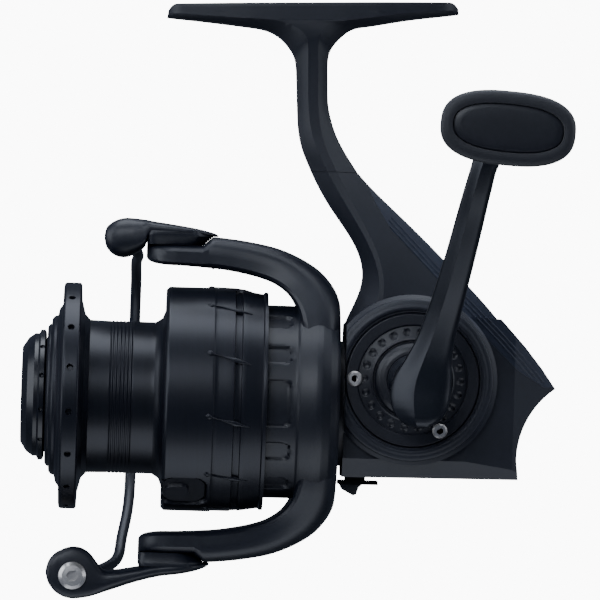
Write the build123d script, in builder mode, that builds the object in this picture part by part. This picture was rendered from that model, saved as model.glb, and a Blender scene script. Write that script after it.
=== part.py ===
from build123d import *

import math
import os

# Open-face spinning reel. Everything is modelled in the shaft frame: the main shaft lies along X
# with the spool towards -X, the rod foot is up (+Z) and the handle side is -Y. The last step tips
# the finished pieces so that the foot's face is level, with its centre at the origin.

# ---- driving dimensions, in millimetres and degrees ----
FOOT_TILT = 2.0  # the shaft points this much upwards, towards the rod's first guide
FOOT_X, FOOT_Z = -23.2, 85.8  # centre of the foot's face
FOOT_LENGTH, FOOT_WIDTH = 63.0, 16.4
DRIVE_Z = 5.7  # the crank axis passes this far above the main shaft
RUN = 0.05  # radial clearance of a running fit
SEAT = 0.02  # clearance between pieces that stay put

SHAFT_R = 1.7
SPOOL_FORWARD, SPOOL_BACK = 9.0, 3.5

GEAR_TEETH, PINION_TEETH = 31, 6
AXIAL_PITCH = 2.5  # spacing of the pinion's teeth along the shaft
GEAR_RING_IN, GEAR_RING_OUT = 10.4, 13.0
PINION_TIP_R, PINION_ROOT_R = 4.2, 3.05
MESH_DEPTH = 0.55
OSC_X, OSC_Z = 12.15, 1.08
OSC_MODULE, HUB_TEETH, OSC_TEETH = 0.65, 15, 25

ROTOR_BACK_X = -15.3
CUP_R, CUP_WALL = 20.7, 1.5
CUP_FRONT_X = -46.0
PIVOT_X = -50.5  # the bail turns about a line through both arm tips
ARM_TIP_Z = 33.0
BAIL_REACH, BAIL_HALF_SPAN, BAIL_PLANE_X = 44.0, 32.0, -59.4
BAIL_WIRE_R = 1.2
ROLLER_X, ROLLER_Z = -71.2, -38.4

SKIRT_R = 24.05
BARREL_R = 16.3

KNOB_X, KNOB_Z = 15.5, 58.5

SHAFT = Axis.X
DRIVE = Axis((0, 0, DRIVE_Z), (0, 1, 0))
DRIVE_PLANE = Plane.XY.offset(DRIVE_Z)  # profiles turned about the crank axis: x is the radius
ROLLER = Axis((ROLLER_X, 0, ROLLER_Z), (0, 1, 0))


def closed(points, plane=Plane.XZ):
    """Straight-sided closed face on a plane."""
    with BuildSketch(plane) as face:
        with BuildLine():
            Polyline(*points, close=True)
        make_face()
    return face.sketch


def box_between(low, high):
    """Box from its lowest to its highest corner."""
    size = [h - l for l, h in zip(low, high)]
    middle = [(h + l) / 2 for l, h in zip(low, high)]
    with BuildPart() as block:
        with Locations(tuple(middle)):
            Box(*size)
    return block.part


def side_plane(x, y, z):
    """Plane facing the handle side, with its origin at a point."""
    return Plane(origin=(x, y, z), x_dir=(1, 0, 0), z_dir=(0, -1, 0))


def ring_profile(start, end, inner, outer):
    """Rectangle for a ring that is turned, from start to end along its axis."""
    return [(start, inner), (end, inner), (end, outer), (start, outer)]


def drive_ring(start, end, inner, outer):
    """The same for a ring about the crank axis, where the radius comes first."""
    return [(inner, start), (inner, end), (outer, end), (outer, start)]


def spread(count, radius, start=0.0):
    """Points on a circle, as pairs."""
    turn = [math.radians(start + 360 * k / count) for k in range(count)]
    return [(radius * math.cos(a), radius * math.sin(a)) for a in turn]


finished = {}

# ---------------------------------------------------------------- housing
GEARBOX_HALF = 12.0
GEARBOX_FRONT, GEARBOX_BOTTOM = -14.3, -15.5
COVER_SPLIT_Y = 9.3  # the far cover starts here
BOSS_R, BOSS_Y = 18.2, 15.0
CAVITY_NEAR, CAVITY_FAR = -10.6, 9.3
PLATE_R = 14.4
NOSE_R = 13.4
CLUTCH_BACK, NOSE_FRONT = -20.2, -24.8
BEARING_R = 6.5
DRIVE_TUBE_R = 3.5

# Stem stations: height, front edge, front crease, rear crease, rear edge, half width,
# half width of the front edge, half width of the rear edge.
STEM = [
    (80.0, -28.5, -24.2, -22.0, -17.5, 5.6, 3.2, 3.4),
    (72.0, -26.5, -24.0, -21.8, -19.6, 5.4, 2.6, 3.0),
    (64.0, -26.1, -23.8, -21.6, -19.4, 5.4, 2.6, 3.0),
    (57.0, -25.3, -22.6, -20.6, -17.2, 5.6, 2.8, 3.2),
    (50.0, -22.7, -19.4, -17.4, -12.9, 6.2, 3.0, 3.6),
    (42.0, -18.1, -14.6, -13.0, -4.8, 7.4, 3.4, 4.4),
    (34.0, -12.6, -9.9, -8.7, 3.8, 9.0, 3.8, 5.4),
    (27.0, -10.8, -7.6, -6.6, 10.8, 10.4, 4.6, 6.4),
    (20.0, -13.0, -8.4, -7.0, 17.4, 11.4, 6.0, 7.4),
    (14.0, -14.2, -9.0, -7.6, 22.0, 11.8, 8.0, 8.0),
]


def stem_section(z, front, crease_front, crease_rear, rear, half, front_half, rear_half):
    """Eight-sided section of the stem at one height."""
    near = [(front, -front_half), (crease_front, -half), (crease_rear, -half), (rear, -rear_half)]
    far = [(x, -y) for x, y in reversed(near)]
    return closed(near + far, Plane.XY.offset(z))


with BuildPart() as gearbox:
    with BuildSketch(Plane.XZ):
        with BuildLine():
            Polyline(
                (31.0, 4.6), (28.0, 8.8), (24.3, 13.3), (18.8, 19.2), (-10.0, 21.0),
                (GEARBOX_FRONT, 17.0), (GEARBOX_FRONT, GEARBOX_BOTTOM),
                (23.4, GEARBOX_BOTTOM + 0.4), (22.9, -11.0),
            )
            ThreePointArc((22.9, -11.0), (25.2, -1.8), (31.0, 4.6))
        make_face()
    extrude(amount=GEARBOX_HALF, both=True)
    bevelled = [(-12, 30), (-12, -11.4), (-8.6, -16), (8.6, -16), (12, -11.4), (12, 30)]
    extrude(closed(bevelled, Plane.YZ), amount=40, both=True, mode=Mode.INTERSECT)
    with BuildSketch(Plane.XY.offset(-20)):
        with BuildLine():
            Polyline(
                (-20, -12), (12, -12), (22, -10.9), (32, -6.8),
                (32, 6.8), (22, 10.9), (12, 12), (-20, 12), close=True,
            )
        make_face()
    extrude(amount=60, mode=Mode.INTERSECT)

with BuildPart() as boss:
    revolve(
        closed(
            [(0, -BOSS_Y), (BOSS_R - 1.6, -BOSS_Y), (BOSS_R, -BOSS_Y + 1.6),
             (BOSS_R, BOSS_Y - 1.6), (BOSS_R - 1.6, BOSS_Y), (0, BOSS_Y)],
            DRIVE_PLANE,
        ),
        axis=DRIVE,
    )
    split(bisect_by=Plane.YZ.offset(GEARBOX_FRONT), keep=Keep.TOP)

with BuildPart() as stem:
    for station in STEM:
        add(stem_section(*station))
    loft()

with BuildPart() as foot:
    foot_side = Plane(
        origin=(FOOT_X, 0, FOOT_Z),
        x_dir=(math.cos(math.radians(FOOT_TILT)), 0, math.sin(math.radians(FOOT_TILT))),
        z_dir=(0, -1, 0),
    )
    half_length = FOOT_LENGTH / 2
    with BuildSketch(foot_side):
        with BuildLine():
            Polyline(
                (-half_length + 1.6, 0), (half_length - 1.6, 0), (half_length, -1.8),
                (half_length - 0.8, -2.7), (9.6, -5.4),
            )
            Spline((9.6, -5.4), (6.4, -7.2), (4.3, -10.2), tangents=[(-1, -0.15), (-0.2, -1)])
            Line((4.3, -10.2), (-4.3, -10.2))
            Spline((-4.3, -10.2), (-6.6, -7.2), (-9.8, -5.6), tangents=[(-0.2, 1), (-1, 0.15)])
            Polyline((-9.8, -5.6), (-half_length + 0.4, -3.0), (-half_length, -2.0),
                     (-half_length + 1.6, 0))
        make_face()
    extrude(amount=FOOT_WIDTH / 2, both=True)
    foot_plan = Plane(
        origin=(FOOT_X, 0, FOOT_Z), x_dir=foot_side.x_dir, z_dir=foot_side.y_dir
    )
    with BuildSketch(foot_plan.offset(-12)):
        with BuildLine():
            Polyline(
                (-32, -4.2), (-26, -5.6), (-14, -8.0), (-6, -8.2), (6, -8.2), (14, -8.0),
                (26, -5.6), (32, -4.2), (32, 4.2), (26, 5.6), (14, 8.0), (6, 8.2), (-6, 8.2),
                (-14, 8.0), (-26, 5.6), (-32, 4.2), close=True,
            )
        make_face()
    extrude(amount=14, mode=Mode.INTERSECT)
    # The underside is pulled in towards the edges.
    for side in (-1, 1):
        with BuildSketch(Plane.YZ.offset(-60)):
            with BuildLine():
                Polyline(
                    (side * 5.4, FOOT_Z - 14), (side * 5.4, FOOT_Z - 9.5), (side * 8.8, FOOT_Z - 2.2),
                    (side * 12, FOOT_Z - 2.2), (side * 12, FOOT_Z - 14), close=True,
                )
            make_face()
        extrude(amount=80, mode=Mode.SUBTRACT)

with BuildPart() as nose:
    revolve(closed(ring_profile(NOSE_FRONT, GEARBOX_FRONT + 3, 2.0, NOSE_R)), axis=SHAFT)
    chamfer(nose.edges().group_by(Axis.X)[0].sort_by(SortBy.RADIUS)[-1], length=0.8)

# The rear web holds the pinion's bush, and two lugs hold the front ends of the slider's rods.
BUSH_R, WEB_BACK, WEB_FRONT = 3.6, -5.9, -8.9
ROD_R, ROD_Z, ROD_FRONT, ROD_REAR = 1.0, -6.4, 0.4, 22.4
ROD_YS = (-3.8, 1.9)
retainer_spots = spread(3, 12.2, 30)

with BuildPart() as shell:
    add(gearbox.part)
    add(boss.part)
    add(stem.part)
    add(foot.part)
    add(nose.part)
    # room for the crown gear, the oscillator and the slider
    revolve(
        closed(drive_ring(CAVITY_NEAR, CAVITY_FAR, 0, 13.35), DRIVE_PLANE),
        axis=DRIVE, mode=Mode.SUBTRACT,
    )
    add(box_between((0, CAVITY_NEAR, -9.6), (21.9, CAVITY_FAR, 4.0)), mode=Mode.SUBTRACT)
    with BuildSketch(Plane.XZ.offset(-CAVITY_FAR)):
        with Locations((OSC_X, OSC_Z)):
            Circle(9.6)
    extrude(amount=CAVITY_FAR - CAVITY_NEAR, mode=Mode.SUBTRACT)
    # the near opening, closed by the side plate, and the plate's seat
    revolve(
        closed([(0, -20), (PLATE_R + 0.1, -20), (PLATE_R + 0.1, -13.6), (11.2, -13.6), (11.2, -10),
                (0, -10)], DRIVE_PLANE),
        axis=DRIVE, mode=Mode.SUBTRACT,
    )
    # the far bearing's seat and the cap's recess, both in the cover
    revolve(
        closed([(0, 9), (6.0 + SEAT, 9), (6.0 + SEAT, 13.0), (7.4, 13.0), (7.4, 16), (0, 16)],
               DRIVE_PLANE),
        axis=DRIVE, mode=Mode.SUBTRACT,
    )
    # nose: clutch bore, bearing seat and the way through for the pinion
    revolve(
        closed([(-26, 0), (-26, 11.4 + SEAT), (CLUTCH_BACK, 11.4 + SEAT),
                (CLUTCH_BACK, BEARING_R + SEAT), (-15.6, BEARING_R + SEAT), (-15.6, 4.7),
                (WEB_FRONT, 4.7), (WEB_FRONT, 0)]),
        axis=SHAFT, mode=Mode.SUBTRACT,
    )
    with BuildSketch(Plane.YZ.offset(NOSE_FRONT)):
        with Locations(*retainer_spots):
            Circle(0.62)
    extrude(amount=3.6, mode=Mode.SUBTRACT)

with BuildPart() as web:
    add(box_between((WEB_FRONT, -10.1, -10), (WEB_BACK, 4.4, 0)))
    with BuildSketch(Plane.YZ.offset(WEB_FRONT)):
        Circle(4.4)
    extrude(amount=WEB_BACK - WEB_FRONT)
    add(box_between((-1.2, -6.2, -12), (1.6, 3.5, -5.0)))
    add(box_between((-6.5, -6.2, -12), (0, 3.5, -9.0)))
    with BuildSketch(Plane.YZ.offset(WEB_FRONT - 1)):
        Circle(BUSH_R + SEAT)
    extrude(amount=5, mode=Mode.SUBTRACT)
    # clear of the crown gear's teeth
    revolve(
        closed(drive_ring(3.3, 6, 9.9, 13.4), DRIVE_PLANE), axis=DRIVE, mode=Mode.SUBTRACT
    )

with BuildPart() as rod_holes:
    with BuildSketch(Plane.YZ.offset(ROD_FRONT - SEAT)):
        with Locations(*[(y, ROD_Z) for y in ROD_YS]):
            Circle(ROD_R + SEAT)
    extrude(amount=ROD_REAR - ROD_FRONT + 2 * SEAT)

PLATE_SCREW_R, PLATE_SCREW_PCR = 0.9, 12.3
plate_screw_spots = spread(3, PLATE_SCREW_PCR, -60)
COVER_SPOTS = [(-11.5, -9.5), (18.5, -9.0), (16.4, 10.9), (-9.0, 21.6)]  # screws of the far cover
LEVER_X, LEVER_Z = -11.2, -11.4  # the anti-reverse lever's pivot


# The trim cover along the back of the stem and box: its lower boundary, then well outside.
REAR_COVER = [
    (-10.4, 46.9), (-8.9, 43.7), (-5.0, 37.4), (4.2, 28.4), (13.5, 17.0), (22.7, 8.3), (28.4, 4.9),
    (40, 4.9), (40, 40), (0, 60),
]

with BuildPart() as housing:
    add(shell.part)
    add(web.part)
    for spot_x, spot_z in COVER_SPOTS[1:3]:
        with BuildSketch(Plane.XZ.offset(-4.4)):
            with Locations((spot_x, spot_z)):
                Circle(2.2)
        extrude(amount=-6)
    add(rod_holes.part, mode=Mode.SUBTRACT)
    with BuildSketch(Plane.XZ.offset(9)):
        with Locations(*[(x, DRIVE_Z + z) for x, z in plate_screw_spots]):
            Circle(PLATE_SCREW_R + SEAT)
    extrude(amount=6, mode=Mode.SUBTRACT)
    # pocket for the anti-reverse lever under the front of the box, and the hole for its pin
    add(box_between((LEVER_X - 2.4, -3.0, -17), (LEVER_X + 2.4, 3.0, -9.2)), mode=Mode.SUBTRACT)
    with BuildSketch(Plane.YZ.offset(LEVER_X - 4.4)):
        with Locations((0, LEVER_Z)):
            Circle(0.8)
    extrude(amount=8.8, mode=Mode.SUBTRACT)
    # axle hole of the oscillating gear
    with BuildSketch(Plane.XZ.offset(10)):
        with Locations((OSC_X, OSC_Z)):
            Circle(1.5)
    extrude(amount=1.6, mode=Mode.SUBTRACT)

with BuildPart() as body_frame:
    add(housing.part)
    with BuildSketch(Plane.XZ.offset(-COVER_SPLIT_Y)):
        with BuildLine():
            Polyline((-14.6, -17), (40, -17), (40, 8.5), (14.5, 24.3), (-14.6, 24.3), close=True)
        make_face()
    extrude(amount=-12, mode=Mode.SUBTRACT)
    with BuildSketch(Plane.XZ.offset(-4.0)):
        with Locations(*COVER_SPOTS):
            Circle(0.9 + SEAT)
    extrude(amount=-6, mode=Mode.SUBTRACT)
    extrude(closed(REAR_COVER), amount=20, both=True, mode=Mode.SUBTRACT)
finished["body_frame"] = body_frame

with BuildPart() as rear_cover:
    add(housing.part)
    with BuildSketch(Plane.XZ):
        with BuildLine():
            Polyline(*REAR_COVER, close=True)
        make_face()
        offset(amount=-SEAT, kind=Kind.INTERSECTION)
    extrude(amount=20, both=True, mode=Mode.INTERSECT)
finished["rear_cover"] = rear_cover

with BuildPart() as side_cover:
    add(housing.part)
    with BuildSketch(Plane.XZ.offset(-COVER_SPLIT_Y - SEAT)):
        with BuildLine():
            Polyline((-14.58, -17), (40, -17), (40, 8.45), (14.5, 24.28), (-14.58, 24.28), close=True)
        make_face()
    extrude(amount=-12, mode=Mode.INTERSECT)
    extrude(closed(REAR_COVER), amount=20, both=True, mode=Mode.SUBTRACT)
    with BuildSketch(Plane.XZ.offset(-COVER_SPLIT_Y + 1)):
        with Locations(*COVER_SPOTS):
            Circle(1.0)
    extrude(amount=-8, mode=Mode.SUBTRACT)
    with BuildSketch(Plane.XZ.offset(-11.3)):
        with Locations(*COVER_SPOTS):
            Circle(1.9)
    extrude(amount=-8, mode=Mode.SUBTRACT)
finished["side_cover"] = side_cover


def head_screws(spots, out, shank_r, shank_length, head_r, head_height, socket):
    """Round-head socket screws: each head stands on its spot towards out, the shank goes in."""
    with BuildPart() as screws:
        for spot in spots:
            at = Plane(origin=spot, z_dir=out)
            with BuildSketch(at):
                Circle(head_r)
            extrude(amount=head_height * 0.6)
            with BuildSketch(at.offset(head_height * 0.6)):
                Circle(head_r)
            extrude(amount=head_height * 0.4, taper=40)
            with BuildSketch(at):
                Circle(shank_r)
            extrude(amount=-shank_length)
            with BuildSketch(at.offset(head_height)):
                RegularPolygon(socket, 6)
            extrude(amount=-head_height * 0.55, mode=Mode.SUBTRACT)
    return screws


finished["side_cover_screws"] = head_screws(
    [(x, 11.3, z) for x, z in COVER_SPOTS], (0, 1, 0), 0.88, 5.6, 1.7, 1.1, 0.8
)

# ---------------------------------------------------------------- near side plate
PLATE_OUT = -15.3
with BuildPart() as side_plate:
    revolve(
        closed([(0, -13.0), (0, PLATE_OUT), (8.2, PLATE_OUT), (8.6, -15.0), (11.4, -15.0),
                (11.8, PLATE_OUT), (13.6, PLATE_OUT), (PLATE_R, -14.6), (PLATE_R, -13.62),
                (11.15, -13.62), (11.15, -10.2), (0, -10.2)], DRIVE_PLANE),
        axis=DRIVE,
    )
    revolve(closed(drive_ring(-13.3, -9, 0, 6.0 + SEAT), DRIVE_PLANE), axis=DRIVE, mode=Mode.SUBTRACT)
    revolve(closed(drive_ring(-16, -12, 0, 4.6), DRIVE_PLANE), axis=DRIVE, mode=Mode.SUBTRACT)
    # ring of dimples around the hub
    for x, z in spread(22, 10.0, 4):
        with Locations((x, -15.4, DRIVE_Z + z)):
            Sphere(0.85, mode=Mode.SUBTRACT)
    with BuildSketch(Plane.XZ.offset(9)):
        with Locations(*[(x, DRIVE_Z + z) for x, z in plate_screw_spots]):
            Circle(PLATE_SCREW_R + 0.1)
    extrude(amount=7, mode=Mode.SUBTRACT)
    with BuildSketch(Plane.XZ.offset(14.7)):
        with Locations(*[(x, DRIVE_Z + z) for x, z in plate_screw_spots]):
            Circle(1.75)
    extrude(amount=2, mode=Mode.SUBTRACT)
finished["side_plate"] = side_plate
finished["plate_screws"] = head_screws(
    [(x, -14.7, DRIVE_Z + z) for x, z in plate_screw_spots], (0, -1, 0),
    PLATE_SCREW_R, 3.6, 1.6, 1.0, 0.8,
)

with BuildPart() as gear_bearings:
    for low, high in ((-13.3 + SEAT, -10.4), (9.7, 12.98)):
        revolve(closed(drive_ring(low, high, DRIVE_TUBE_R + RUN, 6.0), DRIVE_PLANE), axis=DRIVE)
        for y in (low, high):
            revolve(
                closed(drive_ring(y - 0.25, y + 0.25, 4.5, 5.1), DRIVE_PLANE),
                axis=DRIVE, mode=Mode.SUBTRACT,
            )
finished["gear_bearings"] = gear_bearings

with BuildPart() as shaft_seal:
    revolve(
        closed([(3.9, -14.9), (4.58, -14.9), (4.58, -13.4), (4.2, -13.4), (4.2, -14.2), (3.9, -14.4)],
               DRIVE_PLANE),
        axis=DRIVE,
    )
finished["shaft_seal"] = shaft_seal

with BuildPart() as hub_cap:
    revolve(
        closed([(0, 13.04), (7.36, 13.04), (7.36, 14.9), (6.8, 15.5), (0, 15.5)], DRIVE_PLANE),
        axis=DRIVE,
    )
    add(box_between((-5.2, 14.6, DRIVE_Z - 0.7), (5.2, 16, DRIVE_Z + 0.7)), mode=Mode.SUBTRACT)
finished["hub_cap"] = hub_cap

# ---------------------------------------------------------------- nose: bearing and clutch
with BuildPart() as pinion_bearing:
    revolve(closed(ring_profile(CLUTCH_BACK + 0.02, -15.62, 3.1, BEARING_R)), axis=SHAFT)
    for x in (CLUTCH_BACK + 0.02, -15.62):
        revolve(closed(ring_profile(x - 0.3, x + 0.3, 4.4, 5.3)), axis=SHAFT, mode=Mode.SUBTRACT)
finished["pinion_bearing"] = pinion_bearing

with BuildPart() as pinion_bush:
    revolve(closed(ring_profile(WEB_FRONT + 0.2, WEB_BACK, 2.6 + RUN, BUSH_R)), axis=SHAFT)
finished["pinion_bush"] = pinion_bush

SLEEVE_R, ROLLER_PIN_R, CLUTCH_IN = 5.6, 1.0, 8.1
with BuildPart() as clutch_housing:
    revolve(closed(ring_profile(NOSE_FRONT + 0.02, CLUTCH_BACK - 0.02, CLUTCH_IN, 11.4)), axis=SHAFT)
    with BuildSketch(Plane.YZ.offset(NOSE_FRONT)):
        with Locations(*spread(6, 7.6, 12)):
            Circle(1.25)
    extrude(amount=5, mode=Mode.SUBTRACT)
finished["clutch_housing"] = clutch_housing

with BuildPart() as clutch_rollers:
    with BuildSketch(Plane.YZ.offset(NOSE_FRONT + 0.4)):
        with Locations(*spread(6, SLEEVE_R + RUN + ROLLER_PIN_R, 12)):
            Circle(ROLLER_PIN_R)
    extrude(amount=3.8)
finished["clutch_rollers"] = clutch_rollers

RETAINER_X = NOSE_FRONT - 0.02
with BuildPart() as clutch_retainer:
    with BuildSketch(Plane.YZ.offset(RETAINER_X)):
        Circle(13.2)
        Circle(6.6, mode=Mode.SUBTRACT)
        with Locations(*retainer_spots):
            Circle(0.7, mode=Mode.SUBTRACT)
    extrude(amount=-0.5)
finished["clutch_retainer"] = clutch_retainer
retainer_heads = [(RETAINER_X - 0.52, y, z) for y, z in retainer_spots]
finished["retainer_screws"] = head_screws(retainer_heads, (-1, 0, 0), 0.6, 3.2, 1.05, 0.6, 0.45)

with BuildPart() as brake_ring:
    revolve(
        closed([(-19.4, NOSE_R), (-16.8, NOSE_R), (-16.8, 13.9), (-17.4, 14.3), (-18.8, 14.3),
                (-19.4, 13.9)]),
        axis=SHAFT,
    )
finished["brake_ring"] = brake_ring

with BuildPart() as guide_rods:
    with BuildSketch(Plane.YZ.offset(ROD_FRONT)):
        with Locations(*[(y, ROD_Z) for y in ROD_YS]):
            Circle(ROD_R)
    extrude(amount=ROD_REAR - ROD_FRONT)
finished["guide_rods"] = guide_rods

with BuildPart() as lever_pin:
    with BuildSketch(Plane.YZ.offset(LEVER_X - 4.3)):
        with Locations((0, LEVER_Z)):
            Circle(0.8 - SEAT)
    extrude(amount=8.6)
finished["lever_pin"] = lever_pin

# ---------------------------------------------------------------- anti-reverse lever
with BuildPart() as anti_reverse_lever:
    with BuildSketch(Plane.YZ.offset(LEVER_X - 2.2)):
        with Locations((0, LEVER_Z)):
            Circle(1.9)
        with BuildLine():
            Polyline((-1.5, LEVER_Z), (1.5, LEVER_Z), (1.5, -16.4), (-1.5, -16.4), close=True)
        make_face()
        with Locations((0, LEVER_Z)):
            Circle(0.8 + RUN, mode=Mode.SUBTRACT)
    extrude(amount=4.4)
    # thumb plate under the box, with a serrated tab
    with BuildSketch(Plane.YZ.offset(LEVER_X - 3.7)):
        with BuildLine():
            Polyline((-3.8, -16.4), (3.8, -16.4), (4.4, -17.2), (-4.4, -17.2), close=True)
        make_face()
    extrude(amount=8.6)
    with BuildSketch(Plane.XZ):
        with BuildLine():
            Polyline((-14.7, -16.9), (-14.0, -18.3), (-11.6, -19.6), (-10.9, -19.3), (-10.4, -17.8),
                     (-9.4, -16.9), close=True)
        make_face()
    extrude(amount=4.2, both=True)
    for y in (-3.0, -1.5, 0.0, 1.5, 3.0):
        add(box_between((-16, y - 0.3, -20), (-10.6, y + 0.3, -19.2)), mode=Mode.SUBTRACT)
finished["anti_reverse_lever"] = anti_reverse_lever

# ---------------------------------------------------------------- gears
LEAD = AXIAL_PITCH * PINION_TEETH


def spur_points(teeth, module, first=0.0):
    """Corners of a spur gear with straight-flanked teeth, slimmed for backlash."""
    pitch_r = module * teeth / 2
    step = 2 * math.pi / teeth
    corners = []
    for k in range(teeth):
        for share, radius in ((-0.27, -1.15), (-0.13, 0.85), (0.13, 0.85), (0.27, -1.15)):
            angle = math.radians(first) + step * (k + share)
            r = pitch_r + radius * module
            corners.append((r * math.cos(angle), r * math.sin(angle)))
    return corners


def ring_angle(radius):
    """Angle of a crown tooth at a radius, so that it crosses the pinion's line evenly."""
    x = -math.sqrt(radius**2 - DRIVE_Z**2)
    middle = -math.sqrt(((GEAR_RING_IN + GEAR_RING_OUT) / 2) ** 2 - DRIVE_Z**2)
    return math.atan2(-DRIVE_Z, x) - 2 * math.pi * (x - middle) / (GEAR_TEETH * AXIAL_PITCH)


def crown_tooth(turn):
    """Curved outline of one crown tooth, turned about the crank axis."""
    half = 0.28
    radii = [GEAR_RING_IN + 0.1 + k * (GEAR_RING_OUT - GEAR_RING_IN - 0.2) / 5 for k in range(6)]
    middle = [(r, ring_angle(r) + turn) for r in radii]
    line = [(r * math.cos(a), r * math.sin(a)) for r, a in middle]
    left, right = [], []
    for k, (x, z) in enumerate(line):
        x0, z0 = line[max(k - 1, 0)]
        x1, z1 = line[min(k + 1, len(line) - 1)]
        length = math.hypot(x1 - x0, z1 - z0)
        nx, nz = -(z1 - z0) / length, (x1 - x0) / length
        left.append((x + half * nx, z + half * nz))
        right.append((x - half * nx, z - half * nz))
    return left + right[::-1]


GEAR_FACE_Y = PINION_TIP_R + 0.3
line_angle = math.degrees(math.atan2(OSC_Z - DRIVE_Z, OSC_X))
TOOTH_TIP_Y = PINION_TIP_R - MESH_DEPTH
HUB_GEAR_Y = -9.9
with BuildPart() as drive_gear:
    revolve(
        closed([(0, -13.8), (DRIVE_TUBE_R, -13.8), (DRIVE_TUBE_R, GEAR_FACE_Y + 0.4),
                (GEAR_RING_IN - 0.6, GEAR_FACE_Y + 0.4), (GEAR_RING_IN - 0.3, GEAR_FACE_Y),
                (GEAR_RING_OUT, GEAR_FACE_Y), (GEAR_RING_OUT, GEAR_FACE_Y + 1.9),
                (9.4, GEAR_FACE_Y + 2.2), (4.8, GEAR_FACE_Y + 3.0), (4.4, 9.6),
                (DRIVE_TUBE_R, 9.6), (DRIVE_TUBE_R, 12.9), (0, 12.9)], DRIVE_PLANE),
        axis=DRIVE,
    )
    with BuildSketch(side_plane(0, GEAR_FACE_Y + 0.2, DRIVE_Z)):
        for k in range(GEAR_TEETH):
            with BuildLine():
                Polyline(*crown_tooth(2 * math.pi * k / GEAR_TEETH), close=True)
            make_face()
    extrude(amount=GEAR_FACE_Y + 0.2 - TOOTH_TIP_Y)
    with BuildSketch(side_plane(0, HUB_GEAR_Y, DRIVE_Z)):
        with BuildLine():
            Polyline(*spur_points(HUB_TEETH, OSC_MODULE, line_angle), close=True)
        make_face()
    extrude(amount=-2.7)
    # square hole for the handle's shank
    with BuildSketch(Plane.XZ.offset(14)):
        with Locations((0, DRIVE_Z)):
            Rectangle(4.0, 4.0)
    extrude(amount=-19, mode=Mode.SUBTRACT)
    with BuildSketch(Plane.XZ.offset(-13)):
        with Locations((0, DRIVE_Z)):
            Circle(1.5)
    extrude(amount=9, mode=Mode.SUBTRACT)
finished["drive_gear"] = drive_gear

PIN_THROW = (SPOOL_FORWARD + SPOOL_BACK) / 2
SLIDER_X = OSC_X + PIN_THROW - SPOOL_BACK
PIN_DROP = math.sqrt(PIN_THROW**2 - (SLIDER_X - OSC_X) ** 2)
with BuildPart() as oscillating_gear:
    first = line_angle + 180 + 180 / OSC_TEETH
    with BuildSketch(side_plane(OSC_X, -9.8, OSC_Z)):
        with BuildLine():
            Polyline(*spur_points(OSC_TEETH, OSC_MODULE, first), close=True)
        make_face()
        with PolarLocations(4.4, 4, start_angle=0):
            Circle(1.3, mode=Mode.SUBTRACT)
    extrude(amount=-2.4)
    with BuildSketch(Plane.XZ.offset(11.4)):
        with Locations((OSC_X, OSC_Z)):
            Circle(1.5 - RUN)
    extrude(amount=-2.0)
    with BuildSketch(Plane.XZ.offset(7.6)):
        with Locations((SLIDER_X, OSC_Z - PIN_DROP)):
            Circle(1.3)
    extrude(amount=-2.0)
finished["oscillating_gear"] = oscillating_gear

PINION_FRONT, PINION_REAR = -33.6, -6.0


def pinion_tooth(x, turn):
    """Section of one pinion tooth across the shaft, turned about it."""
    corners = []
    for share, radius in ((-0.19, PINION_ROOT_R - 0.2), (-0.09, PINION_TIP_R),
                          (0.09, PINION_TIP_R), (0.19, PINION_ROOT_R - 0.2)):
        angle = turn + 2 * math.pi * share / PINION_TEETH
        corners.append((radius * math.cos(angle), radius * math.sin(angle)))
    return closed(corners, Plane.YZ.offset(x))


with BuildPart() as pinion_gear:
    revolve(
        closed([(PINION_FRONT, 1.9), (PINION_FRONT, 2.9), (-24.0, 2.9), (-24.0, 3.05), (-15.4, 3.05),
                (-15.4, 4.2), (-13.4, 4.2), (-13.2, PINION_ROOT_R), (-9.3, PINION_ROOT_R),
                (-9.2, 2.6), (PINION_REAR, 2.6), (PINION_REAR, 1.9)]),
        axis=SHAFT,
    )
    middle_x = -math.sqrt(((GEAR_RING_IN + GEAR_RING_OUT) / 2) ** 2 - DRIVE_Z**2)
    for tooth in range(PINION_TEETH):
        with BuildPart() as one_tooth:
            for k in range(6):
                x = -13.4 + k * (13.4 - 9.3) / 5
                turn = 2 * math.pi * ((x - middle_x) / LEAD + (tooth + 0.5) / PINION_TEETH)
                add(pinion_tooth(x, turn))
            loft()
        add(one_tooth.part)
finished["pinion_gear"] = pinion_gear

# ---------------------------------------------------------------- rotor
ARM_OUTER = [
    (-15.6, 19.0), (-15.8, 21.7), (-17.4, 25.3), (-20.4, 28.6), (-24.6, 31.2), (-29.4, 33.0),
    (-35.4, 34.3), (-41.0, 34.9), (-58.4, 34.9),
]
ARM_INNER = [
    (-58.4, 29.9), (-54.9, 29.3), (-48.1, 29.0), (-39.2, 28.4), (-33.8, 27.4), (-29.4, 26.2),
    (-26.4, 24.6), (-24.4, 22.4), (-23.8, 19.0),
]
TIP_FLAT_R = 9.5  # the bail levers lie on flats of this radius
ARM_PLAN = [(-60, 6.6), (-42, 6.6), (-34, 7.2), (-26, 9.4), (-20, 12.4), (-15.0, 14.6)]
WINDOWS = [(-57, 4.4), (-30, 4.4), (0, 10.4), (30, 4.4), (57, 4.4)]  # angle and width

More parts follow.
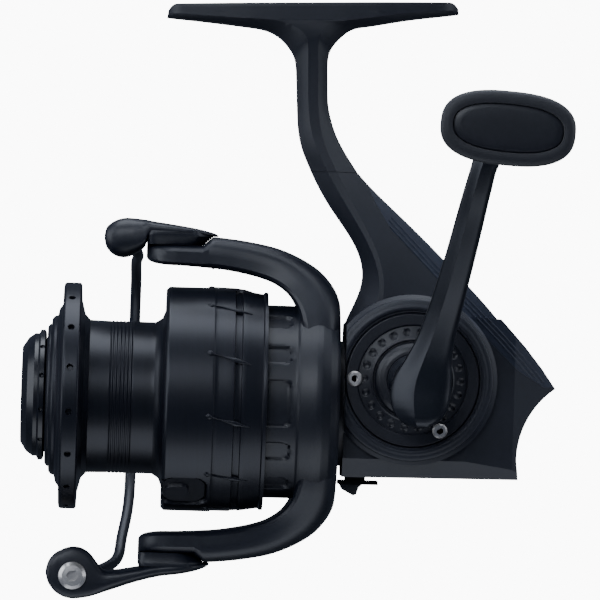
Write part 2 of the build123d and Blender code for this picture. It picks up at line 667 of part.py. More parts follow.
with BuildPart() as rotor_arms:
    revolve(closed(ARM_OUTER + ARM_INNER), axis=SHAFT)
    with BuildSketch(Plane.XY.offset(-40)):
        with BuildLine():
            Polyline(*ARM_PLAN, *[(x, -y) for x, y in reversed(ARM_PLAN)], close=True)
        make_face()
    extrude(amount=80, mode=Mode.INTERSECT)
    # the tips are round about the bail's pivot, and flat where the bail levers lie
    with BuildSketch(Plane.XY.offset(-40)):
        with Locations((PIVOT_X - 40, 0)):
            Rectangle(80, 80)
        with Locations((PIVOT_X, 0)):
            Circle(6.6, mode=Mode.SUBTRACT)
    extrude(amount=80, mode=Mode.SUBTRACT)
    for low in (ARM_TIP_Z, -40):
        with BuildSketch(Plane.XY.offset(low)):
            with Locations((PIVOT_X, 0)):
                Circle(TIP_FLAT_R)
        extrude(amount=40 - ARM_TIP_Z, mode=Mode.SUBTRACT)

with BuildPart() as rotor:
    revolve(
        closed([(-26.6, 2.9 + SEAT), (-29.5, 2.9 + SEAT), (-29.5, 18.4), (-30.5, CUP_R - CUP_WALL),
                (CUP_FRONT_X, CUP_R - CUP_WALL), (CUP_FRONT_X, CUP_R), (-24.0, CUP_R), (-23.4, 21.1),
                (-21.2, 21.1), (-20.9, 20.8), (-20.2, 20.8), (-19.9, 21.1), (-17.2, 21.1),
                (ROTOR_BACK_X, 19.4), (ROTOR_BACK_X, 14.8), (-26.6, 14.8)]),
        axis=SHAFT,
    )
    add(rotor_arms.part)
    revolve(closed(ring_profile(-24.6, -15, 16.2, 19.2)), axis=SHAFT, mode=Mode.SUBTRACT)
    # shallow windows round the cup, near side and far side
    for side in (-1, 1):
        for angle, width in WINDOWS:
            a = math.radians(angle)
            out = (0, side * math.cos(a), math.sin(a))
            origin = (-29.6, (CUP_R - 0.6) * out[1], (CUP_R - 0.6) * out[2])
            with BuildSketch(Plane(origin=origin, x_dir=(1, 0, 0), z_dir=out)):
                RectangleRounded(8.0, width, 1.9)
            extrude(amount=2, mode=Mode.SUBTRACT)
    # pivot holes
    with BuildSketch(Plane.XY.offset(-40)):
        with Locations((PIVOT_X, 0)):
            Circle(1.6)
    extrude(amount=80, mode=Mode.SUBTRACT)
    # channel inside the upper arm for the bail spring and its guide
    add(box_between((-45.0, -2.0, 27.5), (-33.5, 2.0, 31.4)), mode=Mode.SUBTRACT)
finished["rotor"] = rotor

with BuildPart() as rotor_nut:
    with BuildSketch(Plane.YZ.offset(-29.52)):
        RegularPolygon(5.6, 6)
        Circle(2.9, mode=Mode.SUBTRACT)
    extrude(amount=-2.6)
    with BuildSketch(Plane.YZ.offset(-29.52)):
        Circle(6.6)
        Circle(2.9, mode=Mode.SUBTRACT)
    extrude(amount=-0.6)
finished["rotor_nut"] = rotor_nut

with BuildPart() as nut_lock:
    with BuildSketch(Plane.YZ.offset(-30.2)):
        with Locations((0, 8.4)):
            RectangleRounded(6.0, 9.0, 1.2)
        Circle(6.75, mode=Mode.SUBTRACT)
    extrude(amount=-0.7)
    with BuildSketch(Plane.YZ.offset(-29.52)):
        with Locations((0, 9.6)):
            Circle(1.6)
    extrude(amount=-0.7)
    with BuildSketch(Plane.YZ.offset(-29)):
        with Locations((0, 9.6)):
            Circle(0.55)
    extrude(amount=-3, mode=Mode.SUBTRACT)
finished["nut_lock"] = nut_lock
finished["nut_lock_screw"] = head_screws([(-30.92, 0, 9.6)], (-1, 0, 0), 0.5, 0.3, 1.2, 0.8, 0.5)

with BuildPart() as clutch_sleeve:
    revolve(closed(ring_profile(-26.58, CLUTCH_BACK - 0.04, 3.07, SLEEVE_R)), axis=SHAFT)
finished["clutch_sleeve"] = clutch_sleeve

with BuildPart() as balance_weight:
    with BuildSketch(Plane.YZ.offset(-30.6)):
        Circle(19.1)
        Circle(14.4, mode=Mode.SUBTRACT)
        with Locations((0, -13)):
            Rectangle(12.0, 20.0, mode=Mode.INTERSECT)
        with Locations((0, 12)):
            Rectangle(60, 50, mode=Mode.SUBTRACT)
    extrude(amount=-4.0)
finished["balance_weight"] = balance_weight

SPRING_R, WIRE_R = 1.35, 0.28
with BuildPart() as bail_spring:
    with BuildLine() as coil:
        Helix(pitch=1.3, height=7.8, radius=SPRING_R, center=(-43.6, 0, 29.6), direction=(1, 0, 0))
    with BuildSketch(Plane(origin=coil.line @ 0, z_dir=coil.line % 0)):
        Circle(WIRE_R)
    sweep(is_frenet=True)
finished["bail_spring"] = bail_spring

with BuildPart() as spring_guide:
    revolve(
        closed([(-44.8, 0), (-44.8, 0.9), (-35.2, 0.9), (-35.2, 1.7), (-34.0, 1.7), (-34.0, 0)],
               Plane.XZ.offset(0)),
        axis=SHAFT,
    )
spring_guide.part.locate(Location((0, 0, 29.6)))
finished["spring_guide"] = spring_guide

# ---------------------------------------------------------------- bail
LEVER_IN, LEVER_OUT = 33.05, 36.0
WIRE_X, WIRE_Z = -62.6, 33.9  # where the wire enters the upper lever
with BuildPart() as bail_lever:
    with BuildSketch(Plane.XY.offset(LEVER_IN)):
        with Locations((PIVOT_X, 0)):
            Circle(8.8)
            Rectangle(30, 12.8, mode=Mode.INTERSECT)
        with BuildLine():
            Polyline((-50, -6.4), (-58, -4.9), (-62, -4.2), (-62, 4.2), (-58, 4.9), (-50, 6.4),
                     close=True)
        make_face()
    extrude(amount=LEVER_OUT - LEVER_IN)
    # bulbous end that takes the wire
    revolve(
        closed([(-66.4, 31.0), (-66.4, 36.0), (-65.2, 38.2), (-62.8, 39.0), (-62.8, 30.2), (-64.6, 30.2)]),
        axis=Axis((-62.8, 0, 0), (0, 0, 1)),
    )
    chamfer(bail_lever.edges().filter_by(GeomType.CIRCLE).group_by(Axis.X)[-1], length=0.5)
    with BuildSketch(Plane.XY.offset(30)):
        with Locations((PIVOT_X, 0)):
            Circle(1.6)
    extrude(amount=20, mode=Mode.SUBTRACT)
    with BuildSketch(Plane.XY.offset(LEVER_OUT - 0.9)):
        with Locations((PIVOT_X, 0)):
            Circle(3.3)
    extrude(amount=20, mode=Mode.SUBTRACT)
    with BuildSketch(Plane.XZ.offset(-1.98)):
        with Locations((WIRE_X, WIRE_Z)):
            Circle(BAIL_WIRE_R + SEAT)
    extrude(amount=-8, mode=Mode.SUBTRACT)
finished["bail_lever"] = bail_lever

with BuildPart() as roller_lever:
    lever_plan = [(-50, 6.4), (-58, 5.6), (-66, 4.4), (-66, -6.2), (-58, -6.4), (-50, -6.4)]
    with BuildSketch(Plane.XY.offset(-LEVER_IN)):
        with Locations((PIVOT_X, 0)):
            Circle(8.8)
            Rectangle(30, 12.8, mode=Mode.INTERSECT)
        with BuildLine():
            Polyline(*lever_plan, close=True)
        make_face()
    extrude(amount=LEVER_IN - LEVER_OUT - 2.0)
    with BuildSketch(Plane.XZ):
        with BuildLine():
            Polyline((-41.6, -33.0), (-41.6, -35.4), (-44.0, -36.0), (-56.0, -36.4), (-62.0, -37.8),
                     (-70.0, -44.4), (-76, -44), (-76, -32.4), (-60, -32.4), (-58, -33.0), close=True)
        make_face()
    extrude(amount=10, both=True, mode=Mode.INTERSECT)
    # ear in front of the line roller
    with BuildSketch(Plane.XZ.offset(2.4)):
        with Locations((ROLLER_X, ROLLER_Z)):
            Circle(5.9)
        with BuildLine():
            Polyline((-71.0, -32.5), (-58.0, -33.05), (-58.0, -36.8), (-66.0, -41.4), close=True)
        make_face()
    extrude(amount=3.8)
    with BuildSketch(Plane.XZ.offset(-10)):
        with Locations((ROLLER_X, ROLLER_Z)):
            Circle(1.3)
    extrude(amount=20, mode=Mode.SUBTRACT)
    with BuildSketch(Plane.XY.offset(-30)):
        with Locations((PIVOT_X, 0)):
            Circle(1.6)
    extrude(amount=-20, mode=Mode.SUBTRACT)
    with BuildSketch(Plane.XY.offset(-LEVER_OUT + 0.9)):
        with Locations((PIVOT_X, 0)):
            Circle(3.3)
    extrude(amount=-20, mode=Mode.SUBTRACT)
finished["roller_lever"] = roller_lever

with BuildPart() as pivot_screws:
    for side in (-1, 1):
        at = Plane(origin=(PIVOT_X, 0, side * (LEVER_OUT - 0.88)), z_dir=(0, 0, side))
        with BuildSketch(at):
            Circle(3.2)
        extrude(amount=1.1, taper=18)
        with BuildSketch(at):
            Circle(1.55)
        extrude(amount=-5.8)
        with BuildSketch(at.offset(1.2)):
            RegularPolygon(1.3, 6)
        extrude(amount=-0.9, mode=Mode.SUBTRACT)
finished["pivot_screws"] = pivot_screws

ROLLER_NEAR, ROLLER_FAR = -2.3, 5.2
ROLLER_PLANE = Plane.XY.offset(ROLLER_Z)
with BuildPart() as line_roller:
    with BuildSketch(ROLLER_PLANE):
        with BuildLine():
            Polyline((ROLLER_X + 2.4, ROLLER_NEAR), (ROLLER_X + 3.4, ROLLER_NEAR),
                     (ROLLER_X + 3.6, -1.6), (ROLLER_X + 2.9, 0.6), (ROLLER_X + 3.2, 2.4),
                     (ROLLER_X + 4.5, ROLLER_FAR - 0.4), (ROLLER_X + 4.5, ROLLER_FAR),
                     (ROLLER_X + 2.4, ROLLER_FAR), close=True)
        make_face()
    revolve(axis=ROLLER)
finished["line_roller"] = line_roller

with BuildPart() as roller_bush:
    with BuildSketch(ROLLER_PLANE):
        with BuildLine():
            Polyline((ROLLER_X + 1.3, -2.38), (ROLLER_X + 2.4 - RUN, -2.38),
                     (ROLLER_X + 2.4 - RUN, 5.3), (ROLLER_X + 1.3, 5.3), close=True)
        make_face()
    revolve(axis=ROLLER)
finished["roller_bush"] = roller_bush

with BuildPart() as roller_screw:
    with BuildSketch(ROLLER_PLANE):
        with BuildLine():
            Polyline((ROLLER_X, 8.6), (ROLLER_X + 1.28, 8.6), (ROLLER_X + 1.28, -6.24),
                     (ROLLER_X + 3.0, -6.24), (ROLLER_X + 2.9, -6.9), (ROLLER_X + 2.2, -7.6),
                     (ROLLER_X, -7.8), close=True)
        make_face()
    revolve(axis=ROLLER)
    with BuildSketch(Plane.XZ.offset(7.9)):
        with Locations((ROLLER_X, ROLLER_Z)):
            RegularPolygon(1.3, 6)
    extrude(amount=-1.0, mode=Mode.SUBTRACT)
finished["roller_screw"] = roller_screw

# The wire leaves the upper lever, swings round behind the spool and ends in the roller's cone.
SQUARENESS = 2.6


def wire_point(angle):
    """Point of the bail's arch; 90 degrees is at the top, 0 is at its far side."""
    c, s = math.cos(math.radians(angle)), math.sin(math.radians(angle))
    y = BAIL_REACH * abs(c) ** (2 / SQUARENESS)
    z = math.copysign(BAIL_HALF_SPAN * abs(s) ** (2 / SQUARENESS), s)
    return (BAIL_PLANE_X, y, z)


arch = [wire_point(angle) for angle in (76, 64, 50, 34, 14, -14, -32)]
WIRE_END = (ROLLER_X + 0.2, 9.2, ROLLER_Z)
wire_way = [(WIRE_X, 5.0, WIRE_Z), (-61.4, 9.6, 33.2), *arch, (-59.9, 33.0, -26.2), (-61.0, 26.2, -32.2)]
with BuildPart() as bail_wire:
    with BuildLine() as wire_line:
        Line((WIRE_X, 2.0, WIRE_Z), (WIRE_X, 5.0, WIRE_Z))
        Spline(*wire_way, (-62.8, 18.6, -36.6), (-66.6, 12.8, -38.4), WIRE_END,
               tangents=[(0, 1, 0), (-0.6, -0.8, 0)])
    with BuildSketch(Plane(origin=wire_line.line @ 0, z_dir=wire_line.line % 0)):
        Circle(BAIL_WIRE_R)
    sweep()
    # cone that guides the line onto the roller
    with BuildSketch(ROLLER_PLANE):
        with BuildLine():
            Polyline((ROLLER_X, 5.36), (ROLLER_X + 4.7, 5.36), (ROLLER_X + 4.7, 6.2),
                     (ROLLER_X + 3.4, 8.4), (ROLLER_X + 1.6, 10.4), (ROLLER_X, 10.8), close=True)
        make_face()
    revolve(axis=ROLLER)
    with BuildSketch(Plane.XZ):
        with Locations((ROLLER_X, ROLLER_Z)):
            Circle(1.3)
    extrude(amount=-8.7, mode=Mode.SUBTRACT)
finished["bail_wire"] = bail_wire

# ---------------------------------------------------------------- spool
SPOOL_FRONT_X = -78.0
CLIP_X, CLIP_ANGLE = -48.0, math.radians(56)  # the line clip, this far below the handle side
CLIP_OUT = (0, -math.cos(CLIP_ANGLE), -math.sin(CLIP_ANGLE))


def clip_plane_at(radius):
    """Plane across the line clip, at a distance from the shaft."""
    origin = (CLIP_X, radius * CLIP_OUT[1], radius * CLIP_OUT[2])
    return Plane(origin=origin, x_dir=(1, 0, 0), z_dir=CLIP_OUT)


DRAG_R = 13.0
with BuildPart() as spool:
    revolve(
        closed([
            (SPOOL_FRONT_X, DRAG_R + 0.1), (SPOOL_FRONT_X, 16.0), (-77.5, 16.6), (-75.4, 17.7),
            (-74.6, 19.6), (-75.0, 23.4), (-74.5, 24.35), (-73.2, 24.2), (-71.4, 22.9),
            (-70.6, 20.3), (-69.9, 17.4), (-68.8, BARREL_R), (-64.9, BARREL_R), (-54.8, BARREL_R),
            (-53.4, 17.3), (-52.8, 18.9), (-52.8, 23.5), (-52.2, SKIRT_R), (-42.3, SKIRT_R),
            (-42.0, 23.85), (-38.0, 23.85), (-37.8, 23.2), (-36.5, 23.2), (-36.3, 23.7),
            (-31.9, 23.0), (-31.6, 23.4), (-30.9, 23.4), (-30.9, 21.8), (-50.8, 22.1),
            (-50.8, 14.6), (-66.0, 14.6), (-66.0, 5.0), (-54.0, 5.0), (-54.0, SHAFT_R + RUN),
            (-68.4, SHAFT_R + RUN), (-68.4, DRAG_R + 0.1),
        ]),
        axis=SHAFT,
    )
    # fine raised ribs round the barrel, cut back between them
    for k in range(5):
        x = -64.5 + k * 1.1
        revolve(
            closed(ring_profile(x, x + 0.55, BARREL_R - 0.25, BARREL_R + 0.1)),
            axis=SHAFT, mode=Mode.SUBTRACT,
        )
    # holes round the front rim
    for turn in range(0, 360, 24):
        a = math.radians(turn + 6)
        out = (0, math.cos(a), math.sin(a))
        with BuildSketch(Plane(origin=(-73.1, 21.5 * out[1], 21.5 * out[2]), z_dir=out)):
            Circle(0.7)
        extrude(amount=4, mode=Mode.SUBTRACT)
    # recess for the line clip
    with BuildSketch(clip_plane_at(22.43)):
        RectangleRounded(9.6, 10.2, 3.2)
    extrude(amount=3, mode=Mode.SUBTRACT)
finished["spool"] = spool

with BuildPart() as line_clip:
    clip_plane = clip_plane_at(22.5)
    with BuildSketch(clip_plane):
        RectangleRounded(8.8, 9.2, 2.9)
    extrude(amount=0.5)
    with BuildSketch(clip_plane.offset(0.5)):
        with Locations((-1.4, 0)):
            RectangleRounded(5.0, 5.0, 1.6)
    extrude(amount=0.9, taper=12)
finished["line_clip"] = line_clip

with BuildPart() as click_ring:
    with BuildSketch(Plane.YZ.offset(-54.0)):
        with BuildLine():
            Polyline(*spur_points(26, 0.5), close=True)
        make_face()
        Circle(4.0, mode=Mode.SUBTRACT)
    extrude(amount=1.2)
finished["click_ring"] = click_ring

with BuildPart() as drag_washers:
    for k in range(6):
        x = -68.42 - k * 0.92
        outer = DRAG_R - 0.1 if k % 2 == 0 else DRAG_R - 0.9
        revolve(closed(ring_profile(x - 0.9, x, 2.6, outer)), axis=SHAFT)
finished["drag_washers"] = drag_washers

with BuildPart() as drag_retainer:
    with BuildSketch(Plane.YZ.offset(-74.66)):
        Circle(DRAG_R + 0.06)
        Circle(DRAG_R - 1.0, mode=Mode.SUBTRACT)
        with Locations((0, DRAG_R)):
            Rectangle(4, 6, mode=Mode.SUBTRACT)
    extrude(amount=0.7)
finished["drag_retainer"] = drag_retainer

# ---------------------------------------------------------------- main shaft
with BuildPart() as main_shaft:
    revolve(
        closed([(-80.4, 0), (-80.4, 1.4), (-80.0, SHAFT_R), (17.2, SHAFT_R), (17.6, 1.3), (17.6, 0)]),
        axis=SHAFT,
    )
    with BuildSketch(Plane.XY.offset(-4.6)):
        with Locations((-51.4, 0)):
            Circle(0.8)
    extrude(amount=9.2)
finished["main_shaft"] = main_shaft

with BuildPart() as spool_seat:
    revolve(
        closed([(-53.9, SHAFT_R + SEAT), (-53.9, 3.6), (-52.6, 3.6), (-52.6, 5.6), (-52.3, 5.6),
                (-52.3, SHAFT_R + SEAT)]),
        axis=SHAFT,
    )
finished["spool_seat"] = spool_seat

with BuildPart() as slider:
    add(box_between((SLIDER_X - 2.5, -5.2, -8.0), (SLIDER_X + 2.5, 3.4, 3.4)))
    with BuildSketch(Plane.YZ.offset(SLIDER_X - 3)):
        Circle(SHAFT_R + SEAT)
        with Locations(*[(y, ROD_Z) for y in ROD_YS]):
            Circle(ROD_R + RUN)
    extrude(amount=6, mode=Mode.SUBTRACT)
    add(box_between((SLIDER_X - 1.4, -5.3, -7.0), (SLIDER_X + 1.4, -4.9, 3.0)), mode=Mode.SUBTRACT)
    with BuildSketch(Plane.XY.offset(1.7)):
        with Locations((SLIDER_X, 0)):
            Circle(0.82)
    extrude(amount=3, mode=Mode.SUBTRACT)
finished["slider"] = slider
finished["slider_screw"] = head_screws([(SLIDER_X, 0, 3.42)], (0, 0, 1), 0.8, 1.6, 1.5, 0.45, 0.6)

# ---------------------------------------------------------------- drag knob
KNOB_BACK_X = -78.2
with BuildPart() as drag_knob:
    revolve(
        closed([(KNOB_BACK_X, 4.0), (KNOB_BACK_X, 13.4), (-78.5, 14.0), (-79.4, 14.0), (-79.8, 13.2),
                (-80.6, 13.2), (-82.0, 12.2), (-83.3, 10.2), (-83.3, 0), (-80.9, 0), (-80.9, 4.0)]),
        axis=SHAFT,
    )
    # finger recesses on both sides of the middle bar
    for side in (-1, 1):
        with BuildSketch(Plane.YZ.offset(-84)):
            Circle(10.0)
            with Locations((-side * 17.6, 0)):
                Rectangle(40, 40, mode=Mode.SUBTRACT)
        extrude(amount=2.6, mode=Mode.SUBTRACT)
    for y, z in spread(12, 14.0, 12):
        with Locations((-78.95, y, z)):
            Sphere(0.55, mode=Mode.SUBTRACT)
finished["drag_knob"] = drag_knob

with BuildPart() as drag_nut:
    with BuildSketch(Plane.YZ.offset(-77.4)):
        RegularPolygon(3.9, 6)
        Circle(SHAFT_R + RUN, mode=Mode.SUBTRACT)
    extrude(amount=-3.4)
finished["drag_nut"] = drag_nut

with BuildPart() as drag_spring:
    with BuildLine() as coil:
        Helix(pitch=1.1, height=2.2, radius=3.0, center=(-76.9, 0, 0), direction=(1, 0, 0))
    with BuildSketch(Plane(origin=coil.line @ 0, z_dir=coil.line % 0)):
        Circle(0.35)
    sweep(is_frenet=True)
finished["drag_spring"] = drag_spring

with BuildPart() as drag_seal:
    revolve(
        closed([(-78.18, 10.4), (-78.18, 12.2), (-77.4, 12.8), (-76.6, 12.8), (-76.6, 12.2),
                (-77.6, 10.4)]),
        axis=SHAFT,
    )
finished["drag_seal"] = drag_seal

# ---------------------------------------------------------------- handle
with BuildPart() as handle_shank:
    with BuildSketch(Plane.XZ.offset(13.85)):
        with Locations((0, DRIVE_Z)):
            Rectangle(3.9, 3.9)
    extrude(amount=-8.8)
    revolve(
        closed([(0, -13.85), (3.4, -13.85), (3.4, -16.2), (5.4, -17.4), (5.4, -19.0), (4.4, -20.6),
                (4.4, -24.4), (0, -24.4)], DRIVE_PLANE),
        axis=DRIVE,
    )
finished["handle_shank"] = handle_shank

with BuildPart() as handle_screw:
    with BuildSketch(Plane.XZ.offset(-13.02)):
        with Locations((0, DRIVE_Z)):
            Circle(3.3)
    extrude(amount=0.11)
    with BuildSketch(Plane.XZ.offset(-12.95)):
        with Locations((0, DRIVE_Z)):
            Circle(1.4)
    extrude(amount=8.0)
finished["handle_screw"] = handle_screw

ARM_LEFT = [(-3.2, -2.7), (-5.0, 1.2), (-5.4, 4.9), (-4.5, 7.0), (-2.3, 9.5), (-0.2, 12.8),
            (1.3, 17.8), (3.2, 24.3), (4.6, 30.9), (6.7, 39.9), (9.5, 51.8), (10.8, 56.6)]
ARM_RIGHT = [(13.2, 62.6), (16.4, 63.4), (19.2, 61.2), (19.8, 57.6), (17.8, 54.0), (15.2, 50.4),
             (12.9, 40.1), (10.6, 26.0), (9.1, 19.4), (8.2, 16.0), (7.4, 9.8), (7.7, 3.6),
             (6.7, -0.1), (4.8, -2.4), (0.7, -4.1)]
with BuildPart() as handle_arm:
    extrude(closed(ARM_LEFT + ARM_RIGHT), amount=60)
    # side view: the arm leans outwards so that its swing clears the rotor and the bail
    arm_side = [(-24.4, -6), (-24.4, 9), (-26.6, 14), (-33.4, 25), (-38.6, 34), (-43.4, 44),
                (-47.4, 52), (-48.4, 56), (-48.4, 66), (-52.6, 66), (-52.6, 55), (-51.6, 50.5),
                (-48.0, 43), (-43.2, 33), (-38.0, 23.6), (-33.0, 14), (-31.0, 8), (-31.0, -6)]
    with BuildSketch(Plane.YZ.offset(-20)):
        with BuildLine():
            Polyline(*arm_side, close=True)
        make_face()
    extrude(amount=60, mode=Mode.INTERSECT)
    with BuildSketch(Plane.XZ.offset(48)):
        with Locations((KNOB_X, KNOB_Z)):
            Circle(2.0 + SEAT)
    extrude(amount=10, mode=Mode.SUBTRACT)
finished["handle_arm"] = handle_arm

KNOB_NEAR, KNOB_END = -54.4, -78.0
KNOB_TURN = 4.0


def oval_loop(half_x, half_z, power=2.5, count=32):
    """Closed curve of a superellipse."""
    points = []
    for k in range(count):
        a = 2 * math.pi * k / count
        c, s = math.cos(a), math.sin(a)
        x = math.copysign(half_x * abs(c) ** (2 / power), c)
        points.append((x, math.copysign(half_z * abs(s) ** (2 / power), s)))
    return Spline(*points, periodic=True)


with BuildPart() as knob_grip:
    for y, half_x, half_z in ((KNOB_NEAR, 5.6, 5.0), (-58.4, 5.4, 4.7), (-64.4, 7.6, 5.4),
                              (-71.6, 12.2, 7.0), (-75.6, 13.9, 7.6), (KNOB_END, 13.4, 7.2)):
        with BuildSketch(Plane.XZ.offset(-y)):
            with BuildLine():
                oval_loop(half_x, half_z)
            make_face()
    loft()
    with BuildSketch(Plane.XZ.offset(-KNOB_END)):
        with BuildLine():
            oval_loop(11.1, 4.7)
        make_face()
    extrude(amount=-1.2, mode=Mode.SUBTRACT)
    with BuildSketch(Plane.XZ.offset(-KNOB_NEAR - 1)):
        Circle(3.2)
    extrude(amount=20, mode=Mode.SUBTRACT)
knob_grip.part.locate(Location((KNOB_X, 0, KNOB_Z), (0, KNOB_TURN, 0)))
finished["knob_grip"] = knob_grip

with BuildPart() as knob_cap:
    with BuildSketch(Plane.XZ.offset(-KNOB_END - 1.18)):
        with BuildLine():
            oval_loop(11.0, 4.6)
        make_face()
    extrude(amount=1.0)
knob_cap.part.locate(Location((KNOB_X, 0, KNOB_Z), (0, KNOB_TURN, 0)))
finished["knob_cap"] = knob_cap

with BuildPart() as knob_axle:
    with BuildSketch(Plane.XZ.offset(48.8)):
        with Locations((KNOB_X, KNOB_Z)):
            Circle(2.0)
    extrude(amount=23.0)
    with BuildSketch(Plane.XZ.offset(52.62)):
        with Locations((KNOB_X, KNOB_Z)):
            Circle(3.6)
    extrude(amount=1.3)
finished["knob_axle"] = knob_axle

with BuildPart() as knob_bushes:
    for y in (-57.4, -70.0):
        with BuildSketch(Plane.XZ.offset(-y - 2)):
            with Locations((KNOB_X, KNOB_Z)):
                Circle(3.18)
                Circle(2.0 + RUN, mode=Mode.SUBTRACT)
        extrude(amount=3.0)
finished["knob_bushes"] = knob_bushes

# ---------------------------------------------------------------- tip into place and write
place = Location((0, 0, 0), (0, FOOT_TILT, 0)) * Location((-FOOT_X, 0, -FOOT_Z))

os.makedirs("parts", exist_ok=True)
for name, piece in finished.items():
    tipped = piece.part.moved(place)
    tipped.label = name
    export_step(tipped, f"parts/{name}.step")
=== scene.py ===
"""Open-face spinning reel: finishes, finely shaped outer pieces, soft studio light and camera.

Shapes are worked out in the shaft frame, in millimetres: X runs back along the main shaft, -Y is the
handle side, Z goes up to the rod foot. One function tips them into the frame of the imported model.
"""

from __future__ import annotations

import logging
import math
from collections.abc import Callable
from dataclasses import dataclass, field
from enum import Enum

import bmesh
import bpy
import numpy as np
from mathutils import Matrix, Vector
from mathutils.bvhtree import BVHTree


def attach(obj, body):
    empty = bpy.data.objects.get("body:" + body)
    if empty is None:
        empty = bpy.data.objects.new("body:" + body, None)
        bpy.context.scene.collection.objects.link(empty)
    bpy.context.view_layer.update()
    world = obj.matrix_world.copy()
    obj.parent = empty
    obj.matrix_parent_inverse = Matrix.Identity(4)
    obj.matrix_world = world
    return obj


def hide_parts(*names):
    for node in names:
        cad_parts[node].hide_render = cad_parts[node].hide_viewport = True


log = logging.getLogger("reel")
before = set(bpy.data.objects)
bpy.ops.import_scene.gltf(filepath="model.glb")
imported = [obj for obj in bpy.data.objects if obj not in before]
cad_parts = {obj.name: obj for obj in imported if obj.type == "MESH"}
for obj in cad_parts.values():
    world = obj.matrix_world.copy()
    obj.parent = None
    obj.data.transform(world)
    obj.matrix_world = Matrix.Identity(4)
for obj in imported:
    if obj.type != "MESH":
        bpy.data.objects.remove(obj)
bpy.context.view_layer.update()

SHAFT_TILT = math.radians(2.0)
FOOT_CENTRE = np.array([-23.2, 0.0, 85.8])
DRIVE_Z = 5.7  # height of the crank axis
PIVOT_X = -50.5  # place of both lever pivots along the shaft
TIP_LEVEL = 33.0  # height of the flats at the rotor arms' tips
BODY_FRONT = 14.25  # how far the gearbox reaches in front of the crank axis

Relief = Callable[[np.ndarray, np.ndarray, np.ndarray], tuple[np.ndarray, np.ndarray]]


# ---------------------------------------------------------------- frame and mesh helpers
def to_row(points: np.ndarray) -> np.ndarray:
    """Tips shaft-frame millimetres into row-frame metres.

    The foot's centre becomes the origin, then everything turns about Y by the shaft's tilt.

    Args:
        points: array whose last axis is x, y, z in millimetres.

    Returns:
        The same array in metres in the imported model's frame.
    """
    p = (np.asarray(points, dtype=float) - FOOT_CENTRE) / 1000.0
    c, s = math.cos(SHAFT_TILT), math.sin(SHAFT_TILT)
    return np.stack([p[..., 0] * c + p[..., 2] * s, p[..., 1], -p[..., 0] * s + p[..., 2] * c], axis=-1)


def smooth_steps(knots: list[tuple[float, ...]], at: np.ndarray) -> np.ndarray:
    """Smooth curve through knots: cubic Hermite with centred-difference slopes.

    Args:
        knots: rows of (parameter, value, value...), with rising parameters.
        at: parameters to evaluate.

    Returns:
        Array of len(at) rows of values.
    """
    table = np.asarray(knots, dtype=float)
    t, v = table[:, 0], table[:, 1:]
    slopes = np.gradient(v, t, axis=0)
    k = np.clip(np.searchsorted(t, at, side="right") - 1, 0, len(t) - 2)
    h = (t[k + 1] - t[k])[:, None]
    u = ((at - t[k]) / (t[k + 1] - t[k]))[:, None]
    a = (1 + 2 * u) * (1 - u) ** 2 * v[k] + u * (1 - u) ** 2 * h * slopes[k]
    return a + u * u * (3 - 2 * u) * v[k + 1] + u * u * (u - 1) * h * slopes[k + 1]


def refine(profile: list[tuple[float, float]], step: float, soften: float = 0.0) -> np.ndarray:
    """Divides a polyline into short runs, and rounds its corners by averaging along it.

    Args:
        profile: corners of the line.
        step: longest run in millimetres.
        soften: corner radius, about, in millimetres.

    Returns:
        Array of points.
    """
    corners = np.asarray(profile, dtype=float)
    lengths = np.hypot(*np.diff(corners, axis=0).T)
    along = np.concatenate([[0.0], np.cumsum(lengths)])
    count = max(int(math.ceil(along[-1] / step)), 2)
    s = np.union1d(np.linspace(0.0, along[-1], count + 1), along)
    line = np.stack([np.interp(s, along, corners[:, k]) for k in range(2)], axis=1)
    if soften > 0:
        shifts = np.linspace(-soften, soften, 9)
        mixed = [np.stack([np.interp(np.clip(s + d, 0, along[-1]), along, corners[:, k])
                           for k in range(2)], axis=1) for d in shifts]
        blend = np.mean(mixed, axis=0)
        ends = np.minimum(s, along[-1] - s)[:, None]
        line = np.where(ends < soften, line, blend)
    return line


def superellipse(half_a: float | np.ndarray, half_b: float | np.ndarray, power: float,
                 count: int) -> tuple[np.ndarray, np.ndarray]:
    """Closed oval |a/A|^p + |b/B|^p = 1, with points spread by angle.

    Args:
        half_a: half size along the first axis; may be a column of values.
        half_b: half size along the second axis.
        power: 2 is an ellipse, more is squarer.
        count: points round the oval.

    Returns:
        The two coordinates.
    """
    angle = np.linspace(0, 2 * np.pi, count, endpoint=False)
    c, s = np.cos(angle), np.sin(angle)
    radius = (np.abs(c) ** power + np.abs(s) ** power) ** (-1.0 / power)
    return half_a * radius * c, half_b * radius * s


def mesh_object(name: str, points: np.ndarray, faces: list[tuple[int, ...]] | np.ndarray,
                smooth_angle: float = 35.0) -> bpy.types.Object:
    """Makes an object of points in the shaft frame and faces, shaded smooth up to an angle.

    Args:
        name: object name.
        points: n rows of x, y, z in millimetres.
        faces: rows of point numbers.
        smooth_angle: edges sharper than this, in degrees, stay sharp.

    Returns:
        The object, at the origin, with its place in its mesh.
    """
    mesh = bpy.data.meshes.new(name)
    mesh.from_pydata(to_row(points.reshape(-1, 3)).tolist(), [], [tuple(map(int, f)) for f in faces])
    mesh.validate()
    mesh.polygons.foreach_set("use_smooth", np.ones(len(mesh.polygons), dtype=bool))
    mesh.set_sharp_from_angle(angle=math.radians(smooth_angle))
    obj = bpy.data.objects.new(name, mesh)
    bpy.context.scene.collection.objects.link(obj)
    return obj


